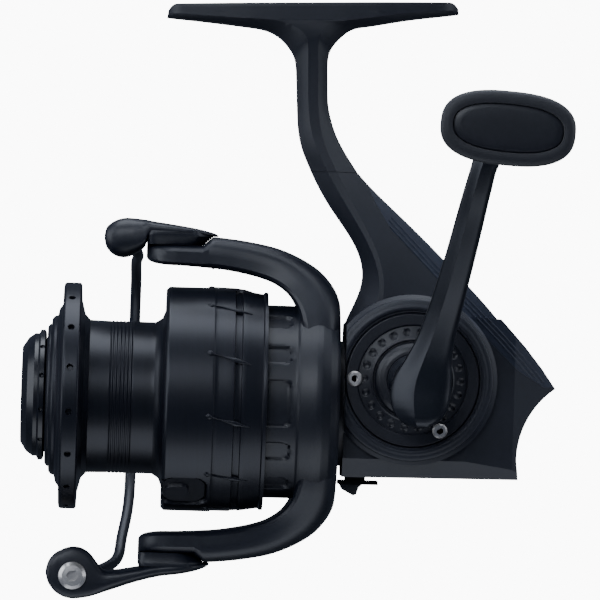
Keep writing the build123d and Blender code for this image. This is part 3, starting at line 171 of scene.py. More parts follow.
def loft(name: str, rings: np.ndarray, closed_along: bool = False, caps: bool = True,
         smooth_angle: float = 35.0) -> bpy.types.Object:
    """Skins a grid of rings: face (i, j) joins ring i and i+1 between points j and j+1.

    Args:
        name: object name.
        rings: array of stations by points round by 3, in millimetres.
        closed_along: also joins the last ring to the first.
        caps: closes both end rings with a fan round their mean point.
        smooth_angle: edges sharper than this stay sharp.

    Returns:
        The object.
    """
    n, m = rings.shape[:2]
    points = rings.reshape(-1, 3)
    i = np.arange(n if closed_along else n - 1)[:, None]
    j = np.arange(m)[None, :]
    a, b = i * m + j, ((i + 1) % n) * m + j
    a2, b2 = i * m + (j + 1) % m, ((i + 1) % n) * m + (j + 1) % m
    faces = [tuple(f) for f in np.stack([a, b, b2, a2], axis=-1).reshape(-1, 4)]
    if caps and not closed_along:
        centres = np.stack([rings[0].mean(axis=0), rings[-1].mean(axis=0)])
        points = np.vstack([points, centres])
        k = np.arange(m)
        faces += [(int(p), int(q), n * m) for p, q in zip(k, (k + 1) % m)]
        last = (n - 1) * m
        faces += [(last + int(q), last + int(p), n * m + 1) for p, q in zip(k, (k + 1) % m)]
    obj = mesh_object(name, points, faces, smooth_angle)
    outward(obj)
    return obj


def outward(obj: bpy.types.Object) -> None:
    """Turns a closed mesh's faces outwards by the sign of its volume.

    Args:
        obj: the object whose mesh is turned.
    """
    mesh = obj.data
    mesh.calc_loop_triangles()
    verts = np.empty(len(mesh.vertices) * 3)
    mesh.vertices.foreach_get("co", verts)
    tris = np.empty(len(mesh.loop_triangles) * 3, dtype=np.int64)
    mesh.loop_triangles.foreach_get("vertices", tris)
    v = verts.reshape(-1, 3)[tris.reshape(-1, 3)]
    if np.einsum("ij,ij->i", v[:, 0], np.cross(v[:, 1], v[:, 2])).sum() < 0:
        mesh.flip_normals()


def turned(name: str, profile: np.ndarray, count: int | np.ndarray = 180, centre_z: float = 0.0,
           along: str = "x", relief: Relief | None = None,
           smooth_angle: float = 32.0) -> bpy.types.Object:
    """Turns a closed profile about the shaft or the crank axis.

    A point at profile parameter s and angle a lies at (x(s), r cos a, r sin a); relief(x, r, a)
    moves x and r where one is given.

    Args:
        name: object name.
        profile: rows of (place along the axis, radius), a closed loop without repeats.
        count: points round, or the angles themselves.
        centre_z: height of the axis.
        along: "x" for the shaft, "y" for the crank axis.
        relief: function of (place, radius, angle) arrays giving the new place and radius.
        smooth_angle: edges sharper than this stay sharp.

    Returns:
        The object.
    """
    angle = np.linspace(0, 2 * np.pi, count, endpoint=False) if np.isscalar(count) else count
    place = np.repeat(profile[:, :1], len(angle), axis=1)
    radius = np.repeat(profile[:, 1:2], len(angle), axis=1)
    if relief is not None:
        place, radius = relief(place, radius, angle[None, :])
    if along == "x":
        rings = np.stack([place, radius * np.cos(angle), radius * np.sin(angle) + centre_z], axis=-1)
    else:
        rings = np.stack([radius * np.cos(angle), place, radius * np.sin(angle) + centre_z], axis=-1)
    return loft(name, rings, closed_along=True, smooth_angle=smooth_angle)


# ---------------------------------------------------------------- finishes
def srgb(code: str) -> tuple[float, float, float, float]:
    """Turns an sRGB hex colour into linear RGBA.

    Args:
        code: six hex digits after a hash.

    Returns:
        Red, green, blue and an alpha of 1.
    """
    values = [int(code.lstrip("#")[k:k + 2], 16) / 255 for k in (0, 2, 4)]
    linear = [v / 12.92 if v <= 0.04045 else ((v + 0.055) / 1.055) ** 2.4 for v in values]
    return (*linear, 1.0)


def add_node(tree: bpy.types.NodeTree, kind: str, settings: dict | None = None,
             inputs: dict | None = None) -> bpy.types.Node:
    """Adds one node with its settings, values and links.

    Args:
        tree: node tree.
        kind: node type name.
        settings: attributes to set.
        inputs: socket name or number to a value, or to an output socket to link from.

    Returns:
        The node.
    """
    node = tree.nodes.new(kind)
    for key, value in (settings or {}).items():
        setattr(node, key, value)
    for key, value in (inputs or {}).items():
        socket = node.inputs[key]
        if isinstance(value, bpy.types.NodeSocket):
            tree.links.new(value, socket)
        else:
            socket.default_value = value
    return node


class Lay(Enum):
    """How a surface's fine marks run."""

    EVEN = "even"  # grain without direction: cast, moulded, lacquered
    ROUND_SHAFT = "round shaft"  # turning lines round the main shaft
    ROUND_CRANK = "round crank"  # turning lines round the crank axis
    LENGTHWISE = "lengthwise"  # drawn or brushed along the shaft
    UPRIGHT = "upright"  # brushed along the handle arm


# Pattern frequency along x, y and z against an even grain: a small number draws the grain out.
LAY_SCALE = {
    Lay.EVEN: (1.0, 1.0, 1.0),
    Lay.ROUND_SHAFT: (1.0, 0.03, 0.03),
    Lay.ROUND_CRANK: (0.03, 1.0, 0.03),
    Lay.LENGTHWISE: (0.03, 1.0, 1.0),
    Lay.UPRIGHT: (1.0, 1.0, 0.04),
}


@dataclass(frozen=True)
class Finish:
    """One surface finish, built as a procedural material.

    Fine grain tints the colour, varies the roughness and drives a bump; a second, broad pattern
    stands for handling marks and uneven gloss.

    Attributes:
        name: material name.
        colour: the colour where the patterns are low.
        tint: the colour where they are high.
        metallic: 0 for a non-metal, 1 for bare metal.
        roughness: middle roughness.
        spread: how far the patterns move it either way.
        grain_mm: size of the fine grain.
        bump_mm: height of the fine grain.
        lay: how the grain runs.
        sheen: weight of the soft rim of light on rubber.
        glow: emission strength, for paper lit from behind.
    """

    name: str
    colour: str
    tint: str
    metallic: float
    roughness: float
    spread: float
    grain_mm: float
    bump_mm: float
    lay: Lay = Lay.EVEN
    sheen: float = 0.0
    glow: float = 0.0

    def build(self) -> bpy.types.Material:
        """Makes the material, once.

        Returns:
            The material.
        """
        known = bpy.data.materials.get(self.name)
        if known:
            return known
        material = bpy.data.materials.new(self.name)
        material.use_nodes = True
        tree = material.node_tree
        tree.nodes.clear()
        place = add_node(tree, "ShaderNodeTexCoord")
        per_metre = 1000.0 / self.grain_mm
        broad_mm = 14.0
        scale = tuple(per_metre * k for k in LAY_SCALE[self.lay])
        mapping = add_node(tree, "ShaderNodeMapping", None, {
            "Vector": place.outputs["Object"],
            "Rotation": (0.0, -SHAFT_TILT, 0.0),
            "Scale": scale,
        })
        grain = add_node(tree, "ShaderNodeTexNoise", {"noise_dimensions": "3D"}, {
            "Vector": mapping.outputs[0], "Scale": 1.0, "Detail": 4.0, "Roughness": 0.6,
        })
        broad = add_node(tree, "ShaderNodeTexNoise", {"noise_dimensions": "3D"}, {
            "Vector": place.outputs["Object"], "Scale": 1000.0 / broad_mm, "Detail": 3.0,
            "Roughness": 0.5,
        })
        mixed = add_node(tree, "ShaderNodeMath", {"operation": "MULTIPLY_ADD"}, {
            0: broad.outputs["Fac"], 1: 0.6, 2: grain.outputs["Fac"],
        })
        ramp = add_node(tree, "ShaderNodeValToRGB", None, {"Fac": mixed.outputs[0]})
        ramp.color_ramp.elements[0].position = 0.45
        ramp.color_ramp.elements[0].color = srgb(self.colour)
        ramp.color_ramp.elements[1].position = 1.0
        ramp.color_ramp.elements[1].color = srgb(self.tint)
        rough = add_node(tree, "ShaderNodeMapRange", None, {
            "Value": mixed.outputs[0], "From Min": 0.5, "From Max": 1.1,
            "To Min": max(self.roughness - self.spread, 0.02), "To Max": self.roughness + self.spread,
        })
        bump = add_node(tree, "ShaderNodeBump", None, {
            "Strength": 0.6, "Distance": self.bump_mm / 1000.0, "Height": grain.outputs["Fac"],
        })
        shader = add_node(tree, "ShaderNodeBsdfPrincipled", None, {
            "Base Color": ramp.outputs["Color"], "Metallic": self.metallic,
            "Roughness": rough.outputs["Result"], "Normal": bump.outputs["Normal"],
            "Sheen Weight": self.sheen, "Emission Color": srgb(self.tint),
            "Emission Strength": self.glow,
        })
        add_node(tree, "ShaderNodeOutputMaterial", None, {"Surface": shader.outputs["BSDF"]})
        return material


# Satin black lacquer on the body: near-black blue-grey, a wide soft highlight, faint orange-peel.
SATIN_LACQUER = Finish("satin_black_lacquer", "#10141e", "#161b27", 0.0, 0.5, 0.05, 0.5, 0.006)
# The same lacquer on the rotor and the levers, a little tighter in its highlight.
ROTOR_LACQUER = Finish("rotor_black_lacquer", "#0f131d", "#141925", 0.0, 0.44, 0.05, 0.45, 0.006)
# Moulded trim of the rear cover: a shade lighter than the body, with slight flow unevenness.
TRIM_ABS = Finish("moulded_abs_trim", "#1d2331", "#252c3c", 0.0, 0.42, 0.05, 0.8, 0.003)
# Black anodised, diamond-turned aluminium: fine rings round the shaft, metallic sheen.
SPOOL_ANODISED = Finish("black_anodised_turned_aluminium", "#10131c", "#151924", 0.3, 0.36, 0.02,
                        0.35, 0.0006, lay=Lay.ROUND_SHAFT)
# Black anodised, bead-blasted aluminium handle: even satin metal.
ARM_ANODISED = Finish("black_anodised_handle_aluminium", "#10141d", "#171c26", 0.3, 0.36, 0.05,
                      0.4, 0.006)
# Soft-touch thermoplastic rubber over the knob: matt, very fine texture, faint sheen.
SOFT_TOUCH = Finish("soft_touch_rubber", "#12151c", "#1a1d26", 0.0, 0.58, 0.06, 0.35, 0.03,
                    sheen=0.15)
# Moulded nylon: fine spark-eroded texture from the tool.
MOULDED_NYLON = Finish("moulded_nylon", "#10131b", "#171a24", 0.0, 0.42, 0.06, 0.4, 0.02)
# Polished nylon of the drag knob: darker than the spool, with a clear highlight on its rim.
DRAG_NYLON = Finish("drag_knob_nylon", "#0d1018", "#121620", 0.0, 0.3, 0.04, 0.5, 0.0006)
# Stainless steel: the palest metal here, so that screw heads read as bright dots.
STAINLESS = Finish("turned_stainless_steel", "#d2cecb", "#e6e3e0", 0.8, 0.32, 0.06, 0.25, 0.004)
# Ground bearing steel: a clean mirror, cooler and sharper than the screws.
BEARING_STEEL = Finish("ground_bearing_steel", "#b8b9bc", "#cfd0d2", 1.0, 0.2, 0.06, 0.25, 0.004)
# Black-coated wire and pivot screws: a shade lighter than the lacquer, with a thin soft streak.
COATED_WIRE = Finish("black_coated_stainless", "#171b25", "#1f2430", 0.2, 0.4, 0.05, 0.3, 0.003)
# Hard-coated polished roller: dark grey mirror with turning lines.
HARD_COAT = Finish("hard_coated_roller", "#5b5751", "#78736b", 1.0, 0.16, 0.05, 0.3, 0.004,
                   lay=Lay.ROUND_CRANK)
# Machined brass inside the rotor and the drag: warm yellow with turning lines.
BRASS = Finish("machined_brass", "#b48e4c", "#cda861", 1.0, 0.3, 0.08, 0.3, 0.008,
               lay=Lay.ROUND_SHAFT)
# Cast zinc alloy: dull grey metal with an open, even grain.
CAST_ZINC = Finish("cast_zinc_alloy", "#8f9194", "#a6a8aa", 1.0, 0.42, 0.08, 0.6, 0.02)
# Nitrile rubber seals: matt, almost black, with a fine pitted skin.
NITRILE = Finish("nitrile_rubber", "#16171a", "#1f2023", 0.0, 0.62, 0.06, 0.4, 0.02)
# Carbon drag washers: dark and satin, with a brownish fleck.
CARBON_WASHER = Finish("woven_carbon_washer", "#1b1b1c", "#34332f", 0.0, 0.5, 0.08, 0.6, 0.03)
# Acetal bushes and gears: creamy white, smooth and a little waxy.
ACETAL = Finish("moulded_acetal", "#d6d4cb", "#e4e2da", 0.0, 0.38, 0.05, 0.8, 0.006)
# Studio paper: matt white, lit through from behind so that it stays an even, clear white.
STUDIO_PAPER = Finish("studio_paper", "#f4f4f4", "#f7f7f7", 0.0, 0.9, 0.02, 2.0, 0.0, glow=11.0)

NODE_FINISH = {
    "body_frame": SATIN_LACQUER, "rear_cover": TRIM_ABS, "side_cover": SATIN_LACQUER,
    "side_cover_screws": STAINLESS, "side_plate": MOULDED_NYLON, "plate_screws": STAINLESS,
    "gear_bearings": BEARING_STEEL, "shaft_seal": NITRILE, "hub_cap": MOULDED_NYLON,
    "pinion_bearing": BEARING_STEEL, "pinion_bush": ACETAL, "clutch_housing": CAST_ZINC,
    "clutch_rollers": BEARING_STEEL, "clutch_retainer": STAINLESS, "retainer_screws": STAINLESS,
    "brake_ring": NITRILE, "guide_rods": BEARING_STEEL, "lever_pin": STAINLESS,
    "drive_gear": CAST_ZINC, "handle_shank": ARM_ANODISED, "handle_screw": STAINLESS,
    "handle_arm": ARM_ANODISED, "knob_axle": STAINLESS, "knob_grip": SOFT_TOUCH,
    "knob_cap": MOULDED_NYLON, "knob_bushes": ACETAL, "rotor": ROTOR_LACQUER,
    "pinion_gear": BRASS, "rotor_nut": BRASS, "nut_lock": STAINLESS, "nut_lock_screw": STAINLESS,
    "clutch_sleeve": BEARING_STEEL, "balance_weight": CAST_ZINC, "bail_spring": STAINLESS,
    "spring_guide": STAINLESS, "bail_lever": ROTOR_LACQUER, "roller_lever": ROTOR_LACQUER,
    "pivot_screws": COATED_WIRE, "roller_screw": STAINLESS, "roller_bush": ACETAL,
    "bail_wire": COATED_WIRE, "line_roller": HARD_COAT, "main_shaft": STAINLESS,
    "spool_seat": STAINLESS, "slider": CAST_ZINC, "slider_screw": STAINLESS,
    "spool": SPOOL_ANODISED, "line_clip": MOULDED_NYLON, "click_ring": ACETAL,
    "drag_retainer": STAINLESS, "drag_washers": CARBON_WASHER, "drag_knob": DRAG_NYLON,
    "drag_nut": BRASS, "drag_spring": STAINLESS, "drag_seal": NITRILE,
    "oscillating_gear": ACETAL, "anti_reverse_lever": MOULDED_NYLON,
}


def dress(obj: bpy.types.Object, finish: Finish) -> None:
    """Gives an object one finish in all its material slots.

    Args:
        obj: the object.
        finish: its finish.
    """
    material = finish.build()
    if obj.data.materials:
        for k in range(len(obj.data.materials)):
            obj.data.materials[k] = material
    else:
        obj.data.materials.append(material)


def soften_edges(obj: bpy.types.Object, width_mm: float, angle: float = 32.0) -> None:
    """Rounds a piece's sharp edges with a live bevel.

    Args:
        obj: the object.
        width_mm: bevel width in millimetres.
        angle: only edges sharper than this, in degrees, are rounded.
    """
    bevel = obj.modifiers.new("soft_edges", "BEVEL")
    bevel.width = width_mm / 1000.0
    bevel.segments = 2
    bevel.limit_method = "ANGLE"
    bevel.angle_limit = math.radians(angle)
    bevel.harden_normals = True


def place_piece(obj: bpy.types.Object, body: str, slot: str, finish: Finish, *nodes: str) -> None:
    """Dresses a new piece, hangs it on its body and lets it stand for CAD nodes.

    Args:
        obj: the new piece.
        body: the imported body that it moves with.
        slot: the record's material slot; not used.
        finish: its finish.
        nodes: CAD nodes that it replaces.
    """
    dress(obj, finish)
    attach(obj, body)
    if nodes:
        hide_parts(*nodes)
    log.info("%s rides on %s, %d faces", obj.name, body, len(obj.data.polygons))


# ---------------------------------------------------------------- knob
@dataclass
class Knob:
    """Flat oval handle knob with an inset end cap."""

    centre: tuple[float, float] = (15.5, 58.5)  # x and z
    turn: float = math.radians(4.0)
    # distance out along -Y, half width, half height, squareness
    stations: list[tuple[float, ...]] = field(default_factory=lambda: [
        (54.4, 5.0, 4.4, 2.2), (55.0, 5.6, 5.0, 2.2), (58.4, 5.3, 4.6, 2.2), (62.0, 6.4, 5.0, 2.3),
        (66.5, 9.2, 5.9, 2.4), (71.0, 12.0, 6.9, 2.5), (74.5, 13.65, 7.5, 2.6),
        (76.6, 13.85, 7.6, 2.6), (77.6, 13.5, 7.25, 2.6), (78.0, 12.7, 6.5, 2.6),
    ])

    def rings(self, stations: np.ndarray, count: int = 96) -> np.ndarray:
        """Ovals at distances along -Y, turned a little about the knob's axis.

        Args:
            stations: rows of distance, half width, half height, squareness.
            count: points round.

        Returns:
            Grid of points.
        """
        out = []
        for y, a, b, p in stations:
            u, w = superellipse(a, b, p, count)
            c, s = math.cos(self.turn), math.sin(self.turn)
            out.append(np.stack([self.centre[0] + u * c + w * s, np.full(count, -y),
                                 self.centre[1] - u * s + w * c], axis=-1))
        return np.array(out)

    def grip(self) -> bpy.types.Object:
        """Soft grip: smooth ovals along the axis, with a shallow oval well in its end.

        Returns:
            The grip.
        """
        neck, widest, end = self.stations[0][0], 74.5, self.stations[-1][0]
        fine = np.concatenate([np.linspace(neck, widest, 44), np.linspace(widest + 0.3, end, 12)])
        skin = np.column_stack([fine, smooth_steps(self.stations, fine)])
        well = np.array([(77.98, 11.9, 5.5, 2.5), (77.9, 11.45, 5.0, 2.5), (77.0, 11.4, 4.95, 2.5),
                         (76.9, 3.0, 2.0, 2.5)])
        return loft("knob_skin", self.rings(np.vstack([skin, well])))

    def cap(self) -> bpy.types.Object:
        """End cap: oval plate with a rounded rim and a slightly domed face.

        Returns:
            The cap.
        """
        rows = np.array([(76.92, 10.9, 4.5, 2.5), (77.3, 11.25, 4.82, 2.5), (77.55, 11.2, 4.78, 2.5),
                         (77.72, 10.9, 4.5, 2.5), (77.8, 9.6, 3.9, 2.4), (77.86, 7.0, 2.8, 2.3),
                         (77.9, 3.5, 1.4, 2.2)])
        return loft("knob_end_cap", self.rings(rows))

    def build(self) -> None:
        """Makes both pieces of the knob."""
        place_piece(self.grip(), "knob", "soft_knob", SOFT_TOUCH, "knob_grip")
        place_piece(self.cap(), "knob", "cap_plastic", MOULDED_NYLON, "knob_cap")


# ---------------------------------------------------------------- handle arm
@dataclass
class HandleArm:
    """Tapered arm from the shank to the knob, leaning outwards on its way up."""

    # height, middle x, half width, inner face, outer face (distances along -Y)
    stations: list[tuple[float, ...]] = field(default_factory=lambda: [
        (-4.1, 1.2, 0.5, 26.5, 28.6), (-3.95, 1.2, 1.7, 25.6, 29.6), (-3.5, 1.2, 2.9, 25.0, 30.2),
        (-2.5, 1.2, 4.3, 24.6, 30.7), (-0.9, 1.2, 5.5, 24.45, 30.9), (1.2, 1.2, 6.2, 24.4, 31.0),
        (3.4, 1.25, 6.4, 24.4, 31.0), (6.4, 1.7, 6.1, 24.4, 31.2), (10.0, 2.6, 4.95, 25.0, 31.9),
        (14.0, 3.8, 4.15, 26.9, 33.3), (19.4, 5.2, 3.7, 30.1, 35.8), (26.0, 6.8, 3.4, 34.1, 39.6),
        (33.0, 8.35, 3.2, 38.1, 43.2), (40.0, 9.8, 3.05, 41.6, 46.5), (46.0, 11.05, 2.9, 44.5, 49.6),
        (51.4, 12.4, 2.9, 47.1, 51.6), (55.0, 14.0, 3.7, 48.3, 52.4), (58.8, 15.2, 4.2, 48.5, 52.6),
        (61.6, 15.7, 3.7, 48.5, 52.6), (63.0, 15.9, 2.5, 48.8, 52.3), (63.4, 15.9, 1.1, 49.4, 51.8),
    ])

    def surface(self) -> bpy.types.Object:
        """Rounded bar: at each height a squarish oval spans the width and the two faces.

        The left flank is bevelled: points left of the middle are drawn in towards the inner face.

        Returns:
            The arm.
        """
        low, foot_top, high = self.stations[0][0], 1.2, self.stations[-1][0]
        foot = low + (foot_top - low) * (1 - np.cos(np.linspace(0, np.pi / 2, 24)))
        z = np.concatenate([foot, np.linspace(foot_top + 0.2, high, 100)])
        middle, half, inner, outer = smooth_steps(self.stations, z).T
        u, w = superellipse(1.0, 1.0, 4.2, 56)
        depth = (inner + outer)[:, None] / 2 + (outer - inner)[:, None] / 2 * w[None, :]
        bevel_from, bevel_share = 0.25, 0.55
        side = np.clip((-u - bevel_from) / (1 - bevel_from), 0, 1)[None, :]
        front = np.clip(w, 0, 1)[None, :]
        depth = depth - side * front * bevel_share * (outer - inner)[:, None]
        x = middle[:, None] + half[:, None] * u[None, :]
        rings = np.stack([x, -depth, np.repeat(z[:, None], len(u), axis=1)], axis=-1)
        return loft("handle_bar", rings, smooth_angle=28.0)

    def build(self) -> None:
        """Makes the arm."""
        place_piece(self.surface(), "crank", "handle_anodised", ARM_ANODISED, "handle_arm")


# ---------------------------------------------------------------- foot and stem
def cad_mesh(node: str) -> bmesh.types.BMesh:
    """Copy of a CAD node's mesh in the row frame.

    Args:
        node: node name.

    Returns:
        The copy, to be freed by the caller.
    """
    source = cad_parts[node]
    copy = bmesh.new()
    copy.from_mesh(source.data)
    copy.transform(source.matrix_world)
    return copy


@dataclass
class FootAndStem:
    """Rod foot that flares into the stem, over the gearbox.

    Each row of the skin is a closed loop round the stem: the front edge, the narrow middle band on
    the near side, the rear edge, and the same on the far side. High rows are as long as the foot.
    """

    cut_z: float = 49.6  # the gearbox piece is kept below this height
    half_length: float = 31.35
    half_width: float = 8.2

    # front edge x, z; front of the band x, z; rear of the band x, z; rear edge x, z;
    # half width of the band, of the front edge and of the rear edge
    rows: list[tuple[float, ...]] = field(default_factory=lambda: [
        (-54.5, 81.7, -54.2, 82.7, 7.9, 85.1, 8.1, 84.3, 8.3, 5.6, 5.6),
        (-47.2, 81.2, -47.4, 82.35, -2.4, 84.2, -2.2, 82.9, 8.3, 5.4, 5.4),
        (-38.2, 80.4, -39.4, 82.0, -10.4, 82.9, -10.2, 81.4, 8.3, 5.2, 5.2),
        (-33.3, 79.7, -31.6, 81.7, -16.0, 82.1, -14.2, 80.6, 8.15, 4.8, 4.8),
        (-30.2, 78.2, -27.7, 80.7, -19.3, 81.4, -16.8, 78.8, 7.6, 4.1, 4.2),
        (-27.9, 75.8, -25.0, 79.0, -21.2, 79.9, -19.0, 76.1, 6.8, 3.4, 3.6),
        (-26.7, 73.2, -24.2, 76.6, -21.95, 77.4, -19.7, 73.6, 6.1, 2.9, 3.2),
        (-26.3, 69.0, -24.0, 71.0, -21.8, 71.2, -19.65, 69.2, 5.6, 2.65, 3.0),
        (-26.0, 63.4, -23.7, 64.0, -21.6, 64.0, -19.3, 63.6, 5.4, 2.6, 3.0),
        (-25.6, 58.6, -22.95, 58.6, -20.85, 58.6, -17.9, 58.6, 5.5, 2.75, 3.15),
        (-24.6, 54.4, -21.6, 54.4, -19.5, 54.4, -15.8, 54.4, 5.8, 2.9, 3.35),
        (-22.57, 49.7, -19.25, 49.7, -17.26, 49.7, -12.69, 49.7, 6.21, 3.01, 3.61),
    ])

    @staticmethod
    def plan_half(x: np.ndarray) -> np.ndarray:
        """Half width of the foot along its length: widest in the middle, with rounded tips.

        Args:
            x: places along the shaft.

        Returns:
            Half widths there.
        """
        along = np.abs(np.asarray(x) - FOOT_CENTRE[0])
        table = np.array([(0, 8.2), (7, 8.18), (14, 7.9), (20, 6.95), (26, 5.65), (29, 4.9), (32, 4.2)])
        tip = np.sqrt(np.clip(1 - (np.clip(along - 27.6, 0, None) / 4.1) ** 2, 0.02, 1))
        return np.interp(along, table[:, 0], table[:, 1]) * tip

    def loop(self, row: np.ndarray, band: int = 48) -> np.ndarray:
        """One closed loop round the foot or stem.

        Args:
            row: the eleven numbers of a row.
            band: points along the middle band.

        Returns:
            Points of the loop.
        """
        fx, fz, ax, az, bx, bz, rx, rz, half, front, rear = row
        share = (1 - np.cos(np.linspace(0, np.pi, band))) / 2
        x, z = ax + (bx - ax) * share, az + (bz - az) * share
        y = np.minimum(half, self.plan_half(x))
        limit = [min(front, 0.72 * y[0]), min(rear, 0.72 * y[-1])]
        bevel = np.array([0.34, 0.67])

        def slope(x0, z0, y0, x1, z1, y1):
            """Points on the bevel between an edge and the band, bulged out a little."""
            bulge = 0.18 * np.sin(np.pi * bevel) * min(max((z0 - 50.0) / 8.0, 0.0), 1.0)
            return np.stack([x0 + (x1 - x0) * bevel, y0 + (y1 - y0) * bevel + bulge,
                             z0 + (z1 - z0) * bevel], axis=-1)

        start, end = np.array([[fx, limit[0], fz]]), np.array([[rx, limit[1], rz]])
        near = np.vstack([
            start, slope(fx, fz, limit[0], ax, az, y[0]), np.stack([x, y, z], axis=-1),
            slope(bx, bz, y[-1], rx, rz, limit[1]), end,
        ])
        near[:, 1] *= -1
        far = near[::-1] * np.array([1, -1, 1])
        across_rear = np.linspace(-limit[1], limit[1], 5)[1:-1]
        across_front = np.linspace(limit[0], -limit[0], 5)[1:-1]
        rear_strip = np.stack([np.full(3, rx), across_rear, np.full(3, rz)], axis=-1)
        front_strip = np.stack([np.full(3, fx), across_front, np.full(3, fz)], axis=-1)
        return np.vstack([near, rear_strip, far, front_strip])

    def slab(self) -> np.ndarray:
        """Rows of the foot above its underside: the level face, its softened edge and the side.

        Returns:
            Loops from the top face downwards.
        """
        rows = []
        for depth, shrink, pull in ((0.03, 2.7, 1.0), (0.03, 1.9, 0.35), (0.12, 1.5, 0.1),
                                    (0.45, 1.0, 0.0), (1.0, 0.5, 0.0), (1.5, 0.2, 0.0)):
            ends = np.array([shrink - self.half_length, self.half_length - shrink])
            x = FOOT_CENTRE[0] + ends * math.cos(SHAFT_TILT) + depth * math.sin(SHAFT_TILT)
            z = FOOT_CENTRE[2] + ends * math.sin(SHAFT_TILT) - depth * math.cos(SHAFT_TILT)
            rows.append(self.loop(np.array([x[0], z[0], x[0] + 0.3, z[0], x[1] - 0.3, z[1], x[1], z[1],
                                            8.3 - pull, 5.6, 5.6])))
            if pull:
                rows[-1][:, 1] *= (self.half_width - pull) / self.half_width
        return np.array(rows)

    def build(self) -> None:
        """Joins the flared skin to the lower part of the gearbox piece."""
        t = np.arange(len(self.rows), dtype=float)
        fine = np.linspace(0, t[-1], 100)
        table = smooth_steps([(k, *row) for k, row in zip(t, self.rows)], fine)
        rings = np.concatenate([self.slab(), np.array([self.loop(row) for row in table])])
        tucked = (rings[-1:] - rings[-1].mean(axis=0)) * np.array([0.9, 0.9, 1.0])
        rings = np.concatenate([rings, tucked + rings[-1].mean(axis=0) - np.array([0.0, 0.0, 0.5])])
        flare = loft("foot_flare", rings, smooth_angle=28.0)
        lower = cad_mesh("body_frame")
        place = Vector(to_row(np.array([0.0, 0.0, self.cut_z])))
        normal = Vector((math.sin(SHAFT_TILT), 0.0, math.cos(SHAFT_TILT)))
        everything = lower.verts[:] + lower.edges[:] + lower.faces[:]
        bmesh.ops.bisect_plane(lower, geom=everything, plane_co=place, plane_no=normal, clear_outer=True)
        box = bpy.data.meshes.new("gearbox_shell")
        lower.to_mesh(box)
        lower.free()
        gearbox = bpy.data.objects.new("gearbox_shell", box)
        bpy.context.scene.collection.objects.link(gearbox)
        place_piece(gearbox, "frame", "body_paint", SATIN_LACQUER, "body_frame")
        soften_edges(gearbox, 0.35)
        place_piece(flare, "frame", "body_paint", SATIN_LACQUER, "body_frame")
        soften_edges(flare, 0.3, 24.0)


# ---------------------------------------------------------------- rear cover
@dataclass
class CoverRidges:
    """Fine raised lines on both sides of the rear cover, side by side along its outer edge."""

    edge: list[tuple[float, float]] = field(default_factory=lambda: [
        (-4.5, 40.9), (0.0, 36.3), (5.8, 30.4), (11.65, 24.6), (20.0, 16.4), (26.0, 10.1), (29.0, 6.6),
    ])
    insets: tuple[float, ...] = (0.9, 1.7, 2.5)
    half_width: float = 0.2
    height: float = 0.14

    def ridge(self, shell: BVHTree, inset: float, side: int) -> np.ndarray:
        """Half-round bar whose middle line is laid on the cover by rays along Y.

        Args:
            shell: the cover's surface in the row frame.
            inset: distance from the outer edge.
            side: -1 for the handle side, 1 for the far side.

        Returns:
            Rings of points.
        """
        line = refine(self.edge, 0.4, 2.0)
        run = np.gradient(line, axis=0)
        inward = np.stack([run[:, 1], -run[:, 0]], axis=1) / np.hypot(*run.T)[:, None]
        angle = np.linspace(0, 2 * np.pi, 10, endpoint=False)
        rings = []
        for (x, z), (nx, nz) in zip(line + inset * inward, inward):
            start = Vector(to_row(np.array([x, side * 40.0, z])))
            hit = shell.ray_cast(start, Vector((0.0, -side, 0.0)))[0]
            if hit is not None:
                across, out = self.half_width * np.cos(angle), self.height * np.sin(angle)
                y = hit.y * 1000.0 + side * out
                rings.append(np.stack([x + across * nx, y, z + across * nz], axis=-1))
        return np.array(rings)

    def build(self) -> None:
        """Makes the ridges."""
        cover = cad_mesh("rear_cover")
        shell = BVHTree.FromBMesh(cover)
        cover.free()
        for side, word in ((-1, "near"), (1, "far")):
            for k, inset in enumerate(self.insets):
                bar = loft(f"cover_ridge_{word}_{k}", self.ridge(shell, inset, side), smooth_angle=60.0)
                place_piece(bar, "frame", "cover_gloss", TRIM_ABS)


